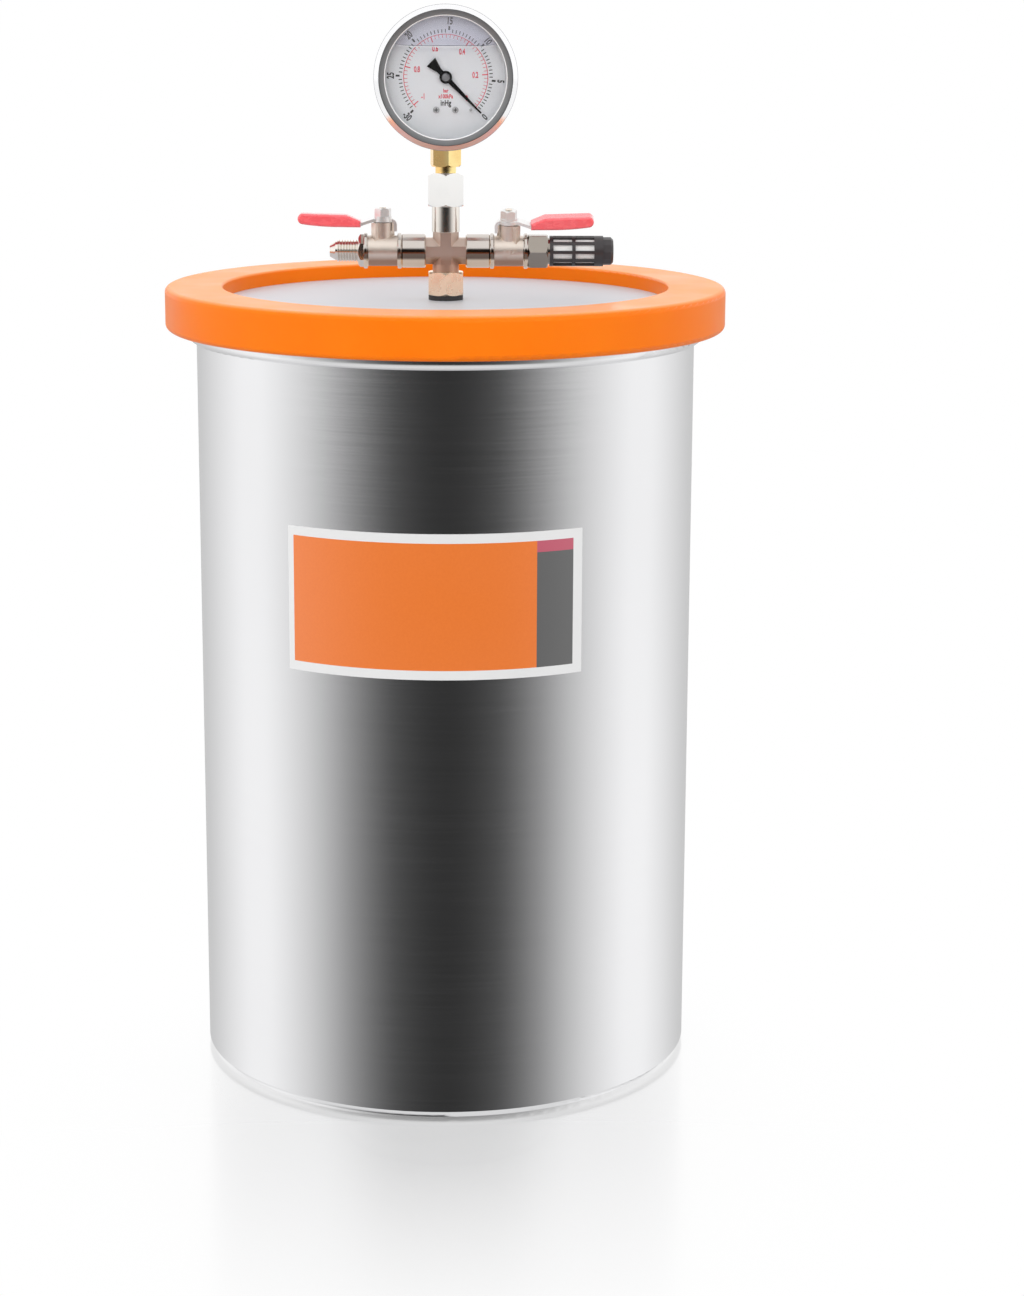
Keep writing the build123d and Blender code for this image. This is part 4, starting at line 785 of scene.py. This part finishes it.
# ---------------------------------------------------------------- fittings
def threaded_flare():
    """The flare fitting again, with a cut thread from its shank to the groove behind the nose."""
    source = frame["nodes"]["flare_fitting"]
    bm = bmesh.new()
    bm.from_mesh(source.data)
    bm.transform(source.matrix_world)

    def reach(vert):
        return math.hypot(vert.co.y, vert.co.z - PIPE_Z)

    # The plain barrel between the two edges makes room for the thread
    start = max(v.co.x for v in bm.verts if abs(reach(v) - FLARE_SHANK) < FLARE_SLACK)
    end = min(v.co.x for v in bm.verts if abs(reach(v) - FLARE_CREST) < FLARE_SLACK)
    barrel = []
    for face in bm.faces:
        outer = all(FLARE_CREST - FLARE_SLACK < reach(v) < FLARE_SHANK + FLARE_SLACK for v in face.verts)
        beyond = all(v.co.x < start + FLARE_SLACK for v in face.verts)
        if outer and beyond:
            barrel.append(face)
    bmesh.ops.delete(bm, geom=barrel, context="FACES_ONLY")

    def thread_at(x):
        """The radius round the fitting at x; the groove fades out at both ends."""
        fade = min(1.0, (start - x) / FLARE_PITCH * 2, (x - end) / FLARE_PITCH * 2)

        def radius(share):
            phase = ((start - x) / FLARE_PITCH + share) % 1.0
            groove = max(0.0, 1 - abs(2 * phase - 1) * 1.2)
            return FLARE_CREST - FLARE_DEPTH * groove * fade

        return radius

    rows = int((start - end) / FLARE_PITCH * THREAD_STEPS_PER_PITCH)
    loops = [circle_around_pipe(bm, start, lambda share: FLARE_SHANK, THREAD_STEPS_AROUND)]
    for row in range(rows + 1):
        x = start + (end - start) * row / rows
        loops.append(circle_around_pipe(bm, x, thread_at(x), THREAD_STEPS_AROUND))
    join_loops(bm, loops)
    piece = add_piece("flare_threaded", bm, "chamber", MATERIALS["nickel"])
    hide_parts("flare_fitting")


def size_mark():
    """The pipe size cast on the front of the right valve, wrapped round its barrel."""
    bm = bmesh.new()
    add_text(bm, "1/4", Vector((VALVE_X, 0, PIPE_Z - MARK_DROP)), MARK_SIZE, 0, MARK_NARROWING)
    for vert in bm.verts:
        surface = math.sqrt(BARREL_RADIUS**2 - (vert.co.z - PIPE_Z) ** 2)
        relief = MARK_RELIEF if vert.co.y < 0 else -MARK_ROOT
        vert.co.y = -surface - relief
    add_piece("valve_size_mark", bm, "chamber", VALVE)


# ---------------------------------------------------------------- stage, light and camera
# The floor's sheen lies round the front foot of the pot and gives way to pure white farther off
FLOOR_RADIUS = 6
SHEEN_CENTRE_Y = -0.13
SHEEN_RADIUS = 0.05
WHITE_RADIUS = 0.26


def floor():
    """White to the camera far off; round the foot of the pot it keeps a faint sheen and shadow."""
    bm = bmesh.new()
    bmesh.ops.create_circle(bm, cap_ends=True, segments=96, radius=FLOOR_RADIUS)
    bmesh.ops.recalc_face_normals(bm, faces=bm.faces)
    mesh = bpy.data.meshes.new("floor")
    bm.to_mesh(mesh)
    bm.free()
    obj = bpy.data.objects.new("floor", mesh)
    bpy.context.scene.collection.objects.link(obj)
    obj.visible_glossy = False
    look = Look("floor_white", (0.82, 0.82, 0.82), Roughness=0.16, Metallic=0.7)
    emission = look.nodes.new("ShaderNodeEmission")
    emission.inputs["Strength"].default_value = 1.0
    x, y, _ = look.axes()
    reach = look.distance(x, look.math("SUBTRACT", y, SHEEN_CENTRE_Y))
    white = look.remap(reach, SHEEN_RADIUS, WHITE_RADIUS, 0.15, 1.0)
    path = look.nodes.new("ShaderNodeLightPath")
    mix = look.nodes.new("ShaderNodeMixShader")
    look.links.new(look.math("MULTIPLY", path.outputs["Is Camera Ray"], white), mix.inputs["Fac"])
    look.links.new(look.shader.outputs["BSDF"], mix.inputs[1])
    look.links.new(emission.outputs["Emission"], mix.inputs[2])
    look.links.new(mix.outputs["Shader"], look.nodes["Material Output"].inputs["Surface"])
    dress(obj, look.material)


# Brightness of the room by the angle away from the front, from the back round to the front:
# low down, as the sides of the pot mirror it, and higher up, as the fittings mirror it
LOW_ROOM = (
    (180, 0.62),
    (157, 0.65),
    (128, 0.90),
    (109, 1.09),
    (93, 1.09),
    (80, 0.94),
    (68, 0.76),
    (56, 0.54),
    (45.5, 0.335),
    (35, 0.185),
    (25, 0.09),
    (0, 0.035),
)
HIGH_ROOM = (
    (180, 1.25),
    (140, 1.2),
    (109, 1.15),
    (80, 1.2),
    (60, 1.25),
    (45, 0.85),
    (32, 0.3),
    (20, 0.06),
    (0, 0.03),
)
# Heights, as the sine of the angle over level, between which the parts of the room blend
LOW_TO_HIGH = (-0.095, -0.055)
HIGH_TO_CEILING = (0.22, 0.46)
LOW_TO_GROUND = (0.6, 0.85)
CEILING = 1.15
GROUND = 0.85


def studio_world():
    """White to the camera; elsewhere a soft room, dark in front and bright at the sides and top."""
    world = bpy.data.worlds.new("studio")
    bpy.context.scene.world = world
    world.use_nodes = True
    nodes, links = world.node_tree.nodes, world.node_tree.links
    coords = nodes.new("ShaderNodeTexCoord")
    split = nodes.new("ShaderNodeSeparateXYZ")
    links.new(coords.outputs["Generated"], split.inputs["Vector"])

    def calc(operation, *values):
        node = nodes.new("ShaderNodeMath")
        node.operation = operation
        for socket, value in zip(node.inputs, values):
            if isinstance(value, (int, float)):
                socket.default_value = value
            else:
                links.new(value, socket)
        return node.outputs[0]

    def room(stops, place):
        """A ramp over the cosine of the angle away from the front."""
        ramp = nodes.new("ShaderNodeValToRGB")
        elements = ramp.color_ramp.elements
        elements[0].position, elements[1].position = 0.0, 1.0
        while len(elements) < len(stops):
            elements.new(0.5)
        for element, (azimuth, value) in zip(elements, stops):
            element.position = (1 + math.cos(math.radians(azimuth))) / 2
            element.color = (value, value, value, 1)
        links.new(place, ramp.inputs["Fac"])
        return ramp.outputs["Color"]

    def ease(value, low, high):
        """A smooth step from 0 at low to 1 at high."""
        node = nodes.new("ShaderNodeMapRange")
        node.interpolation_type = "SMOOTHSTEP"
        node.inputs["From Min"].default_value = low
        node.inputs["From Max"].default_value = high
        links.new(value, node.inputs["Value"])
        return node.outputs["Result"]

    def blend(factor, first, second):
        mix = nodes.new("ShaderNodeMix")
        mix.data_type = "RGBA"
        links.new(factor, mix.inputs["Factor"])
        for socket, value in ((mix.inputs["A"], first), (mix.inputs["B"], second)):
            if isinstance(value, float):
                socket.default_value = (value, value, value, 1)
            else:
                links.new(value, socket)
        return mix.outputs["Result"]

    squares = [calc("POWER", split.outputs[axis], 2.0) for axis in ("X", "Y")]
    level = calc("SQRT", calc("ADD", *squares))
    facing = calc("DIVIDE", split.outputs["Y"], calc("MAXIMUM", level, 0.001))
    place = calc("MULTIPLY_ADD", facing, -0.5, 0.5)
    height = split.outputs["Z"]
    depth = calc("MULTIPLY", height, -1.0)
    sides = blend(ease(height, *LOW_TO_HIGH), room(LOW_ROOM, place), room(HIGH_ROOM, place))
    topped = blend(ease(height, *HIGH_TO_CEILING), sides, CEILING)
    grounded = blend(ease(depth, *LOW_TO_GROUND), topped, GROUND)
    path = nodes.new("ShaderNodeLightPath")
    background = nodes["Background"]
    background.inputs["Strength"].default_value = 1.0
    links.new(blend(path.outputs["Is Camera Ray"], grounded, 1.0), background.inputs["Color"])


LAMP_PLACE = Vector((-0.3, -2.2, 1.2))
LAMP_AIM = Vector((0, 0, 0.3))
LAMP_SIZE = 1.6
LAMP_WATTS = 22


def front_lamp():
    """A broad soft lamp in front of the chamber that no mirror shows."""
    light = bpy.data.lights.new("front_fill", "AREA")
    light.shape = "RECTANGLE"
    light.size = light.size_y = LAMP_SIZE
    light.energy = LAMP_WATTS
    obj = bpy.data.objects.new("front_fill", light)
    bpy.context.scene.collection.objects.link(obj)
    obj.location = LAMP_PLACE
    obj.rotation_euler = (LAMP_AIM - LAMP_PLACE).to_track_quat("-Z", "Y").to_euler()
    obj.visible_glossy = False


EYE = Vector((-5.04, -1481.38, 551.63)) * MM
EYE_YAW = 1.514
EYE_PITCH = 13.02
EYE_ROLL = 0.267
EYE_LENS = 81.73
SENSOR_HEIGHT = 36


def camera():
    """The eye stands a little over the gauge, 1.5 m in front, looking slightly down."""
    yaw, pitch, roll = (math.radians(angle) for angle in (EYE_YAW, EYE_PITCH, EYE_ROLL))
    ahead = Vector((math.sin(yaw) * math.cos(pitch), math.cos(yaw) * math.cos(pitch), -math.sin(pitch)))
    right = ahead.cross(Vector((0, 0, 1))).normalized()
    turn = Matrix.Rotation(-roll, 3, ahead)
    right = turn @ right
    up = right.cross(ahead)
    data = bpy.data.cameras.new("camera")
    data.sensor_fit = "VERTICAL"
    data.sensor_height = SENSOR_HEIGHT
    data.lens = EYE_LENS
    data.clip_end = 50
    obj = bpy.data.objects.new("camera", data)
    bpy.context.scene.collection.objects.link(obj)
    facing = Matrix((right, up, -ahead)).transposed().to_4x4()
    obj.matrix_world = Matrix.Translation(EYE) @ facing
    bpy.context.scene.camera = obj


# ---------------------------------------------------------------- the scene
dress_cad_nodes()
black_print()
red_print()
pointer_cap()
screw_crosses()
air_pocket()
liquid_line("liquid_edge_dark", 0.25 * MM, 0.32 * MM, LINE_PAINTED_SHADE)
liquid_line("liquid_edge_light", 0.75 * MM, 0.45 * MM, LINE_PAINTED_HIGHLIGHT)
threaded_flare()
size_mark()
floor()
studio_world()
front_lamp()
camera()
bpy.context.scene.view_settings.view_transform = "Standard"
